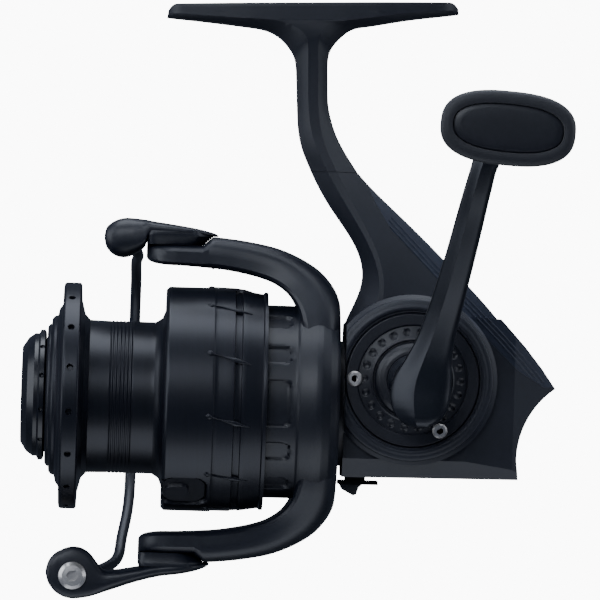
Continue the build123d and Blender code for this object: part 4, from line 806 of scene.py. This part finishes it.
# ---------------------------------------------------------------- side plate
@dataclass
class SidePlate:
    """Round near-side plate: domed hub, dimpled cone, flat ring; and the bead on the body round it."""

    dimples: int = 22
    dimple_r: float = 10.2  # radius of the circle that they lie on
    dimple_half: float = 0.8
    dimple_deep: float = 0.45

    def relief(self, y: np.ndarray, r: np.ndarray, a: np.ndarray) -> tuple[np.ndarray, np.ndarray]:
        """Sinks round dimples into the cone: depth D (1 - (d/R)^2)^(1/2) at distance d.

        Args:
            y: places along the crank axis.
            r: radii.
            a: angles.

        Returns:
            New places and radii.
        """
        step = 2 * np.pi / self.dimples
        da = (a + step / 2) % step - step / 2
        d = np.hypot(r - self.dimple_r, da * self.dimple_r)
        on_face = y < -14.0
        dip = self.dimple_deep * np.sqrt(np.clip(1 - (d / self.dimple_half) ** 2, 0, 1)) * on_face
        return y + dip, r + 0 * a

    def build(self) -> None:
        """Makes the plate and the bead."""
        loop = [(-13.3, 4.7), (-15.1, 4.7), (-16.2, 5.0), (-16.45, 5.5), (-16.4, 6.2), (-16.1, 7.0),
                (-15.5, 7.8), (-15.0, 8.1), (-15.0, 8.35), (-15.55, 8.45), (-15.55, 8.7),
                (-15.35, 8.9), (-14.75, 11.5), (-14.75, 11.6), (-15.15, 11.75), (-15.15, 14.05),
                (-14.8, 14.3), (-13.65, 14.3), (-13.65, 11.1), (-10.2, 11.1), (-10.2, 6.05),
                (-13.3, 6.05)]
        line = refine(loop + loop[:1], 0.17, 0.08)[:-1]
        plate = turned("side_plate_disc", line, 400, DRIVE_Z, "y", self.relief, 40.0)
        place_piece(plate, "frame", "cap_plastic", MOULDED_NYLON, "side_plate")
        bead = refine([(-14.4, 14.75), (-15.2, 14.8), (-15.6, 15.2), (-15.6, 15.7), (-15.35, 16.2),
                       (-15.3, 16.6), (-15.05, 17.2), (-14.4, 17.4), (-14.4, 14.75)], 0.2, 0.2)[:-1]

        def clip(y: np.ndarray, r: np.ndarray, a: np.ndarray) -> tuple[np.ndarray, np.ndarray]:
            """Cuts the ring off flat at the gearbox's front: r cos a stays behind it."""
            reach = BODY_FRONT / np.clip(-np.cos(a), 1e-6, None)
            return y + 0 * a, np.where(np.cos(a) < 0, np.minimum(r, reach), r)

        ring = turned("boss_bead", bead, 240, DRIVE_Z, "y", clip, 40.0)
        place_piece(ring, "frame", "body_paint", SATIN_LACQUER, "body_frame")


# ---------------------------------------------------------------- rotor
@dataclass
class Rotor:
    """Cup with shallow windows and a rear ring, from which two arms sweep forwards."""

    # outer x, radius; inner x, radius; half width
    arm: list[tuple[float, ...]] = field(default_factory=lambda: [
        (-15.7, 16.6, -23.6, 16.6, 15.6), (-15.45, 19.6, -24.0, 20.0, 15.2),
        (-15.75, 22.4, -24.5, 22.4, 13.7), (-17.3, 25.4, -25.7, 24.0, 11.7),
        (-20.2, 28.5, -27.6, 25.3, 9.8), (-24.5, 31.1, -30.4, 26.5, 8.3), (-29.4, 33.0, -33.9, 27.4, 7.4),
        (-35.4, 34.2, -38.4, 28.2, 6.9), (-40.4, 34.8, -41.8, 28.6, 6.7), (-42.6, 34.95, -43.4, 28.7, 6.6),
    ])
    # the ramp and the flat that the bail lever lies on
    tip: list[tuple[float, ...]] = field(default_factory=lambda: [
        (-43.2, 34.95, -44.0, 28.75, 6.6), (-45.35, TIP_LEVEL, -45.4, 28.85, 6.6),
        (-47.0, TIP_LEVEL, -47.0, 28.95, 6.6), (PIVOT_X, TIP_LEVEL, PIVOT_X, 29.1, 6.6),
    ])
    nose: float = 6.85  # length of the rounded end in front of the pivot
    # angle in degrees from the middle of a side, width round the cup
    windows: tuple[tuple[float, float], ...] = ((-57, 4.4), (-30, 4.4), (0, 10.4), (30, 4.4), (57, 4.4))
    window_x: float = -29.6
    window_half: float = 4.0
    window_corner: float = 1.9
    window_deep: float = 0.6
    cup_r: float = 20.7

    def arm_rings(self) -> np.ndarray:
        """Loops across one arm, from inside the rear ring to the rounded tip.

        At share u from the inner to the outer face and w across, a point has y = w W, and its
        height is (R^2 - y^2)^(1/2) for a radius R about the shaft; the tip's flat is level.

        Returns:
            Grid of points for the upper arm.
        """
        t = np.arange(len(self.arm), dtype=float)
        bend = smooth_steps([(k, *row) for k, row in zip(t, self.arm)], np.linspace(0, t[-1], 90))
        turn = np.linspace(0, np.pi / 2, 18)[1:]
        drop = 1 - np.cos(turn)
        inner, half_width = self.tip[-1][3:]
        nose_x = PIVOT_X - self.nose * np.sin(turn)
        nose = np.stack([nose_x, np.full(len(turn), TIP_LEVEL), nose_x, inner + 1.4 * drop**2,
                         np.maximum(half_width * np.cos(turn), 0.05)], axis=-1)
        steps, knots = np.linspace(0, 3, 16), np.arange(4)
        flat = np.stack([np.interp(steps, knots, column) for column in zip(*self.tip)], axis=-1)
        rows = np.vstack([bend, flat, nose])
        # 0 where the outer face is round about the shaft, 1 where it is level
        level = np.concatenate([np.zeros(len(bend)), np.clip(np.linspace(0, 4, len(flat)), 0, 1),
                                np.ones(len(nose))])
        half = [(0.0, 0.0), (0.0, 0.45), (0.0, 0.8), (0.09, 0.93), (0.2, 1.0), (0.45, 1.0), (0.7, 1.0),
                (0.84, 0.93), (0.95, 0.8), (1.0, 0.62), (1.0, 0.3)]
        across = half + [(1.0, 0.0)] + [(u, -w) for u, w in half[:0:-1]]
        u, w = np.array(across).T
        x = rows[:, 2:3] + (rows[:, 0:1] - rows[:, 2:3]) * u
        r = rows[:, 3:4] + (rows[:, 1:2] - rows[:, 3:4]) * u
        y = rows[:, 4:5] * w
        z = np.sqrt(np.clip(r**2 - y**2, 1.0, None))
        return np.stack([x, -y, z + (r - z) * level[:, None] * u], axis=-1)

    def relief(self, x: np.ndarray, r: np.ndarray, a: np.ndarray) -> tuple[np.ndarray, np.ndarray]:
        """Sinks rounded windows into the cup's outside, near side and far side.

        Args:
            x: places along the shaft.
            r: radii.
            a: angles.

        Returns:
            New places and radii.
        """
        out = r + 0 * a
        corner, wall = self.window_corner, 0.22
        outside = (r > 20.4) & (x < -24.5)
        for middle, sense in ((np.pi, -1), (0.0, 1)):
            for angle, width in self.windows:
                arc = (a - middle - sense * math.radians(angle) + np.pi) % (2 * np.pi) - np.pi
                dx = np.clip(np.abs(x - self.window_x) - (self.window_half - corner), 0, None)
                da = np.clip(np.abs(arc * self.cup_r) - (width / 2 - corner), 0, None)
                inside = np.clip((corner - np.hypot(dx, da)) / wall, 0, 1)
                out = out - self.window_deep * inside * outside
        return x, out

    def build(self) -> None:
        """Makes the cup and both arms."""
        loop = [(-26.6, 2.95), (-29.5, 2.95), (-29.5, 18.4), (-30.5, 19.2), (-46.0, 19.2), (-46.0, 20.7),
                (-24.6, 20.7), (-24.3, 20.9), (-24.1, 21.05), (-23.2, 21.3), (-21.4, 21.75),
                (-20.4, 21.9), (-19.2, 21.85), (-17.4, 21.2), (-16.0, 20.2), (-15.35, 19.3),
                (-24.6, 19.2), (-24.6, 16.2), (-15.3, 16.2), (-15.3, 14.8), (-26.6, 14.8)]
        line = refine(loop + loop[:1], 0.56, 0.12)[:-1]
        cup = turned("rotor_cup", line, 400, relief=self.relief, smooth_angle=38.0)
        place_piece(cup, "rotor_body", "rotor_paint", ROTOR_LACQUER, "rotor")
        rings = self.arm_rings()
        for name, sign in (("rotor_arm_upper", 1), ("rotor_arm_lower", -1)):
            arm = loft(name, rings * np.array([1, 1, sign]), smooth_angle=30.0)
            place_piece(arm, "rotor_body", "rotor_paint", ROTOR_LACQUER, "rotor")


# ---------------------------------------------------------------- bail levers
@dataclass
class BailLevers:
    """Levers at the arm tips: the upper one ends in a round boss, the lower one holds the roller."""

    # x, lower z, upper z, near y, far y, squareness
    upper: list[tuple[float, ...]] = field(default_factory=lambda: [
        (-66.5, 33.9, 34.9, -0.7, 0.7, 2.0), (-66.25, 32.7, 36.0, -2.0, 2.0, 2.1),
        (-65.4, 31.3, 37.1, -3.0, 3.0, 2.2), (-64.2, 30.4, 37.9, -3.6, 3.6, 2.3),
        (-62.8, 30.0, 38.4, -3.9, 3.9, 2.3), (-61.6, 30.05, 38.55, -4.0, 4.0, 2.4),
        (-60.2, 30.6, 38.5, -4.2, 4.2, 2.4), (-59.0, 31.3, 38.4, -4.6, 4.6, 2.6),
        (-58.1, 32.0, 38.3, -4.9, 4.9, 2.8), (-57.6, 32.7, 38.25, -5.1, 5.1, 3.0),
        (-57.2, 34.0, 38.2, -5.2, 5.2, 3.0), (-56.7, 34.9, 38.1, -5.3, 5.3, 3.0),
        (-55.8, 35.03, 37.95, -5.5, 5.5, 3.0), (-53.5, 35.05, 37.65, -5.9, 5.9, 3.1),
        (-50.5, 35.05, 37.25, -6.2, 6.2, 3.2),
        (-46.4, 35.0, 36.6, -5.7, 5.7, 3.0), (-43.8, 34.99, 36.0, -4.2, 4.2, 2.6),
        (-42.3, 34.98, 35.5, -2.2, 2.2, 2.2), (-42.0, 34.98, 35.3, -0.8, 0.8, 2.0),
    ])
    lower: list[tuple[float, ...]] = field(default_factory=lambda: [
        (-76.95, -38.1, -37.3, -5.0, -3.6, 2.2), (-76.6, -39.5, -35.9, -5.8, -2.8, 2.6),
        (-75.6, -41.2, -34.3, -6.15, -2.45, 3.0), (-73.6, -42.8, -32.9, -6.2, -2.4, 3.2),
        (-71.2, -43.4, -32.2, -6.2, -2.4, 3.4), (-69.0, -43.2, -32.6, -6.2, -2.4, 3.2),
        (-67.1, -42.8, -34.0, -6.2, -2.4, 3.2), (-65.9, -42.4, -35.6, -6.2, -2.3, 3.0),
        (-64.8, -42.0, -36.8, -6.2, -1.4, 2.9), (-62.4, -41.2, -36.95, -6.25, 2.0, 2.9),
        (-58.4, -39.8, -36.4, -6.3, 4.8, 3.0), (-53.0, -38.3, -35.4, -6.3, 6.0, 3.1),
        (-47.2, -37.4, -35.0, -5.9, 5.9, 3.0), (-44.4, -36.7, -34.99, -4.4, 4.4, 2.6),
        (-42.4, -35.8, -34.98, -2.3, 2.3, 2.2), (-42.0, -35.5, -34.98, -0.8, 0.8, 2.0),
    ])

    @staticmethod
    def body(name: str, stations: list[tuple[float, ...]]) -> bpy.types.Object:
        """Skins rounded sections along X.

        Args:
            name: object name.
            stations: rows of x, lower z, upper z, near y, far y and squareness.

        Returns:
            The lever.
        """
        x, low_z = np.array(stations).T[:2]
        runs = np.hypot(np.diff(x), 0.25 * np.diff(low_z))
        t = np.concatenate([[0.0], np.cumsum(runs)])
        fine = np.linspace(0, t[-1], 110)
        rows = smooth_steps([(a, *row) for a, row in zip(t, stations)], fine)
        count = 56
        rings = []
        for px, low, high, near, far, power in rows:
            u, w = superellipse(abs(far - near) / 2, abs(high - low) / 2, max(power, 2.0), count)
            rings.append(np.stack([np.full(count, px), (near + far) / 2 + u, (low + high) / 2 + w],
                                  axis=-1))
        return loft(name, np.array(rings), smooth_angle=40.0)

    @staticmethod
    def seat(name: str, sign: int) -> bpy.types.Object:
        """Seat under a lever: square in front of the pivot, a cone behind it.

        The cone keeps its radius on the arm's ramp at every height, so the lever can swing.

        Args:
            name: object name.
            sign: 1 for the upper lever, -1 for the lower one.

        Returns:
            The seat.
        """
        rings = []
        angle = np.linspace(0, 2 * np.pi, 120, endpoint=False)
        c, s = np.cos(angle), np.sin(angle)
        # height, reach in front of the pivot, radius behind it, half width
        for z, front, rear, half in ((33.02, 6.75, 5.15, 5.05), (33.1, 6.85, 5.24, 5.15),
                                     (34.95, 6.85, 7.28, 6.0), (35.3, 6.85, 7.3, 6.1),
                                     (36.0, 6.6, 7.0, 6.0)):
            cone = np.minimum(rear, half / np.clip(np.abs(s), 1e-6, None))
            square = (np.abs(c / front) ** 6 + np.abs(s / half) ** 6) ** (-1 / 6)
            radius = np.where(c > 0, cone, square)
            rings.append(np.stack([PIVOT_X + radius * c, radius * s, np.full(len(angle), sign * z)],
                                  axis=-1))
        return loft(name, np.array(rings), smooth_angle=30.0)

    def build(self) -> None:
        """Makes both levers and their seats."""
        for name, stations, sign, node in (("bail_lever_upper", self.upper, 1, "bail_lever"),
                                           ("bail_lever_lower", self.lower, -1, "roller_lever")):
            place_piece(self.body(name, stations), "bail", "rotor_paint", ROTOR_LACQUER, node)
            place_piece(self.seat(f"{name}_seat", sign), "bail", "rotor_paint", ROTOR_LACQUER, node)


# ---------------------------------------------------------------- spool
@dataclass
class Spool:
    """Anodised spool: drilled front flange, ribbed barrel and a deep skirt with raised darts."""

    # closed profiles, rows of x and radius, whose last point lies where the two parts meet
    front: list[tuple[float, float]] = field(default_factory=lambda: [
        (-78.0, 13.1), (-78.0, 14.6), (-77.6, 15.2), (-77.2, 15.3), (-77.1, 16.4), (-76.6, 17.0),
        (-75.9, 17.2), (-75.6, 18.6), (-74.9, 19.6), (-74.8, 23.2), (-74.7, 23.9), (-74.45, 24.2),
        (-74.2, 24.3), (-71.2, 24.3), (-70.9, 23.9), (-70.75, 20.6), (-70.0, 17.6), (-68.9, 16.4),
        (-68.35, 13.1),
    ])
    rear: list[tuple[float, float]] = field(default_factory=lambda: [
        (-68.9, 16.4), (-65.0, 16.3), (-54.9, 16.3), (-53.5, 17.2), (-52.85, 18.9), (-52.8, 23.4),
        (-52.1, 24.05), (-42.4, 24.05), (-42.1, 23.85), (-38.0, 23.85), (-37.9, 23.25), (-36.5, 23.2),
        (-36.35, 23.7), (-31.95, 23.0), (-31.7, 23.4), (-30.95, 23.4), (-30.9, 21.85),
        (-50.75, 22.1), (-50.8, 14.7), (-65.9, 14.7), (-66.0, 5.0), (-54.0, 5.0), (-54.0, 1.76),
        (-68.3, 1.76), (-68.35, 13.1),
    ])
    holes: int = 16
    hole_x: float = -72.9
    rim_r: float = 24.3
    skirt_r: float = 24.05
    rib_pitch: float = 0.8
    rib_height: float = 0.09
    marks: int = 11
    mark_r: float = 23.9
    clip_x: float = -48.0
    clip_angle: float = math.radians(56.0)  # how far the line clip lies below the handle side

    def drill(self, x: np.ndarray, r: np.ndarray, a: np.ndarray) -> tuple[np.ndarray, np.ndarray]:
        """Sinks round holes 1.0 deep into the rim.

        Args:
            x: places along the shaft.
            r: radii.
            a: angles.

        Returns:
            New places and radii.
        """
        step = 2 * np.pi / self.holes
        da = (a - self.first_hole + step / 2) % step - step / 2
        away = np.hypot(x - self.hole_x, da * self.rim_r)
        edge, wall = 0.72, 0.12
        sunk = np.clip((edge - away) / wall, 0, 1)
        return x, r - np.where((r > 23.5) & (x < -71.5), sunk, 0.0)

    @property
    def first_hole(self) -> float:
        """Angle of the hole that lies 7.3 degrees below the handle side."""
        return np.pi + math.radians(7.3)

    def relief(self, x: np.ndarray, r: np.ndarray, a: np.ndarray) -> tuple[np.ndarray, np.ndarray]:
        """Adds fine ribs to the barrel, a wave along x, and sinks the line clip's pocket.

        Args:
            x: places along the shaft.
            r: radii.
            a: angles.

        Returns:
            New places and radii.
        """
        barrel = (x > -64.4) & (x < -59.6) & (r > 16.0) & (r < 17.0)
        wave = self.rib_height * np.cos(2 * np.pi * x / self.rib_pitch)
        out = r + np.where(barrel, wave, 0.0) + 0 * a
        arc = ((a - np.pi - self.clip_angle + np.pi) % (2 * np.pi) - np.pi) * self.skirt_r
        corner, wall, deep = 2.9, 0.3, 1.5
        dx = np.clip(np.abs(x - self.clip_x) - 2.1, 0, None)
        da = np.clip(np.abs(arc) - 2.4, 0, None)
        sunk = np.clip((corner - np.hypot(dx, da)) / wall, 0, 1)
        return x, out - np.where((r > 22.8) & (x < -42), deep * sunk, 0.0)

    def darts(self) -> bpy.types.Object:
        """Raised darts on the skirt, side by side: a ball end, a thin shaft and a long arrow head.

        Each is a bar of rings along x that turns 0.25 of its length round the skirt; its half
        width swells at the ball and again at the head.

        Returns:
            All the darts as one object.
        """
        x = np.concatenate([np.linspace(-43.9, -42.5, 14), np.linspace(-42.3, -34.4, 40)])
        ball_x, head_x, shaft = -43.2, -37.6, 0.14
        ball = np.sqrt(np.clip(1 - ((x - ball_x) / 0.68) ** 2, 0, 1)) * 0.66
        head = 0.5 * np.clip(1 - np.abs(x - head_x) / 3.2, 0, 1) ** 1.2
        half = np.maximum(np.maximum(ball, head + shaft), shaft)
        half[[0, -1]] = 0.03
        top = np.interp(x, [-43.9, ball_x, -42.4, -38.0, -36.0, -34.4],
                        [24.1, 24.4, 24.2, 24.12, 23.9, 23.5])
        across = np.array([-1.0, -0.85, -0.45, 0.0, 0.45, 0.85, 1.0])
        lift = np.array([-1.2, -0.16, 0.0, 0.05, 0.0, -0.16, -1.2])
        points, faces = [], []
        n, m = len(x), len(across)
        cell = np.arange(n - 1)[:, None] * m + np.arange(m)[None, :]
        nxt = np.arange(n - 1)[:, None] * m + (np.arange(m)[None, :] + 1) % m
        quads = np.stack([cell, nxt, nxt + m, cell + m], axis=-1).reshape(-1, 4)
        start, slant = np.pi - math.radians(57.8), 0.25
        for k in range(self.marks):
            middle = start + k * 2 * np.pi / self.marks + (x - ball_x) * slant / self.mark_r
            angle = middle[:, None] + half[:, None] * across / self.mark_r
            radius = top[:, None] + lift
            faces.append(quads + k * n * m)
            points.append(np.stack([np.repeat(x[:, None], m, axis=1), radius * np.cos(angle),
                                    radius * np.sin(angle)], axis=-1).reshape(-1, 3))
        obj = mesh_object("spool_darts", np.vstack(points), np.vstack(faces), 50.0)
        outward(obj)
        return obj

    def build(self) -> None:
        """Makes the flange, the barrel with the skirt, and the darts."""
        step = 2 * np.pi / self.holes
        at_hole, between = np.linspace(-1.0, 1.0, 22), np.linspace(1.6, self.rim_r * step - 1.6, 9)
        fine = np.concatenate([at_hole, between]) / self.rim_r
        angles = (self.first_hole + np.arange(self.holes)[:, None] * step + fine).ravel()
        line = refine(self.front + self.front[:1], 0.3, 0.1)[:-1]
        rim = line[(line[:, 0] > -74.15) & (line[:, 0] < -71.25) & (line[:, 1] > 24.2)]
        first = int(np.flatnonzero((line == rim[0]).all(axis=1))[0])
        close = np.column_stack([np.linspace(rim[0, 0], rim[-1, 0], 34), np.full(34, self.rim_r)])
        line = np.vstack([line[:first], close, line[first + len(rim):]])
        flange = turned("spool_flange", line, angles, relief=self.drill, smooth_angle=35.0)
        place_piece(flange, "spool_body", "spool_anodised", SPOOL_ANODISED, "spool")
        pocket = np.pi + self.clip_angle + np.linspace(-0.26, 0.26, 110)
        around = np.linspace(pocket[-1], pocket[0] + 2 * np.pi, 252)[1:-1]
        ribs = [(x, 16.3) for x in np.linspace(-64.9, -59.0, 44)]
        skirt = [(x, self.skirt_r) for x in np.linspace(-52.0, -42.5, 40)]
        corners = self.rear[:2] + ribs + self.rear[2:7] + skirt + self.rear[7:]
        line = refine(corners + corners[:1], 1.0, 0.1)[:-1]
        barrel = turned("spool_barrel", line, np.concatenate([pocket, around]), relief=self.relief,
                        smooth_angle=40.0)
        place_piece(barrel, "spool_body", "spool_anodised", SPOOL_ANODISED, "spool")
        place_piece(self.darts(), "spool_body", "spool_anodised", SPOOL_ANODISED, "spool")


# ---------------------------------------------------------------- carried-over pieces
@dataclass
class CarriedOver:
    """CAD nodes whose shape is kept: each gets its finish, and visible ones get softened edges."""

    # node to bevel width in millimetres
    softened: dict[str, float] = field(default_factory=lambda: {
        "rear_cover": 0.35, "side_cover": 0.35, "handle_shank": 0.3, "hub_cap": 0.25,
        "anti_reverse_lever": 0.2, "line_clip": 0.2, "drag_knob": 0.2,
    })

    def build(self) -> None:
        """Dresses every CAD node."""
        for name, finish in NODE_FINISH.items():
            dress(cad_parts[name], finish)
        for name, width in self.softened.items():
            soften_edges(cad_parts[name], width)


# ---------------------------------------------------------------- studio
@dataclass
class Studio:
    """Pale cove, soft boxes and a long lens level with the shaft."""

    eye: tuple[float, float, float] = (-60.6, -1500.0, 25.0)
    aim: tuple[float, float, float] = (-24.1, 0.0, 22.0)
    roll: float = math.radians(1.75)
    frame_mm: float = 129.0
    middle: tuple[float, float, float] = (-20.0, 0.0, 20.0)  # where the lights are aimed
    light_colour: tuple[float, float, float] = (0.86, 0.91, 1.0)

    def cove(self) -> bpy.types.Object:
        """Round floor that curves up into a wall on every side, so no view runs off the paper.

        Turned about the vertical: a level run, a quarter circle and an upright run.

        Returns:
            The cove.
        """
        bend = np.linspace(0, np.pi / 2, 24)
        corner, floor, top, reach = 700.0, -150.0, 3400.0, 3600.0
        radius = np.concatenate([[1.0], reach - corner + corner * np.sin(bend), [reach]])
        height = np.concatenate([[floor], floor + corner - corner * np.cos(bend), [top]])
        angle = np.linspace(0, 2 * np.pi, 96, endpoint=False)
        rings = np.stack([radius[:, None] * np.cos(angle), radius[:, None] * np.sin(angle),
                          np.repeat(height[:, None], len(angle), axis=1)], axis=-1)
        obj = loft("studio_cove", rings, caps=False, smooth_angle=60.0)
        dress(obj, STUDIO_PAPER)
        # black flags round the reel: the paper is seen directly and doesn't show in the gloss
        obj.visible_glossy = False
        obj.visible_diffuse = False
        return obj

    def soft_box(self, name: str, at: tuple[float, float, float], size: tuple[float, float],
                 watts: float) -> None:
        """Rectangular light, aimed at the reel's middle.

        Args:
            name: light name.
            at: place in shaft-frame millimetres.
            size: width and height in metres.
            watts: power.
        """
        light = bpy.data.lights.new(name, "AREA")
        light.shape = "RECTANGLE"
        light.size, light.size_y = size
        light.energy = watts
        light.color = self.light_colour
        obj = bpy.data.objects.new(name, light)
        bpy.context.scene.collection.objects.link(obj)
        here, there = Vector(to_row(np.array(at))), Vector(to_row(np.array(self.middle)))
        obj.location = here
        obj.rotation_euler = (there - here).to_track_quat("-Z", "Y").to_euler()

    def camera(self) -> None:
        """Long lens: its picture is frame_mm wide at the shaft, rolled with the foot."""
        eye, aim = Vector(to_row(np.array(self.eye))), Vector(to_row(np.array(self.aim)))
        up_end = np.array(self.aim) + 100 * np.array([-math.sin(self.roll), 0.0, math.cos(self.roll)])
        up = (Vector(to_row(up_end)) - aim).normalized()
        forward = (aim - eye).normalized()
        right = forward.cross(up).normalized()
        up = right.cross(forward)
        data = bpy.data.cameras.new("camera")
        data.sensor_width = 36.0
        data.lens = data.sensor_width * (aim - eye).length * 1000.0 / self.frame_mm
        data.clip_start, data.clip_end = 0.05, 20.0
        obj = bpy.data.objects.new("camera", data)
        bpy.context.scene.collection.objects.link(obj)
        turn = Matrix((right, up, -forward)).transposed().to_4x4()
        obj.matrix_world = Matrix.Translation(eye) @ turn
        bpy.context.scene.camera = obj

    def build(self) -> None:
        """Makes the cove, the lights, the world and the camera."""
        self.cove()
        self.soft_box("top_box", (-60, 60, 900), (0.9, 0.7), 9.0)
        self.soft_box("left_box", (-900, -250, 260), (0.6, 1.0), 5.5)
        self.soft_box("right_box", (850, -250, 340), (0.6, 1.0), 3.8)
        self.soft_box("low_box", (-40, -250, -600), (0.9, 0.5), 2.6)
        self.soft_box("front_fill", (-500, -1300, 700), (0.8, 0.6), 9.0)
        world = bpy.data.worlds.new("studio_air")
        world.use_nodes = True
        world.node_tree.nodes["Background"].inputs["Color"].default_value = srgb("#c6d5f0")
        world.node_tree.nodes["Background"].inputs["Strength"].default_value = 0.12
        bpy.context.scene.world = world
        self.camera()


def main() -> None:
    """Builds the reel's looks in order."""
    logging.basicConfig(level=logging.INFO, format="%(name)s: %(message)s")
    for part in (CarriedOver(), FootAndStem(), CoverRidges(), SidePlate(), Rotor(), BailLevers(),
                 Knob(), HandleArm(), Spool(), Studio()):
        log.info("building %s", type(part).__name__)
        part.build()


if __name__ == "__main__":
    main()
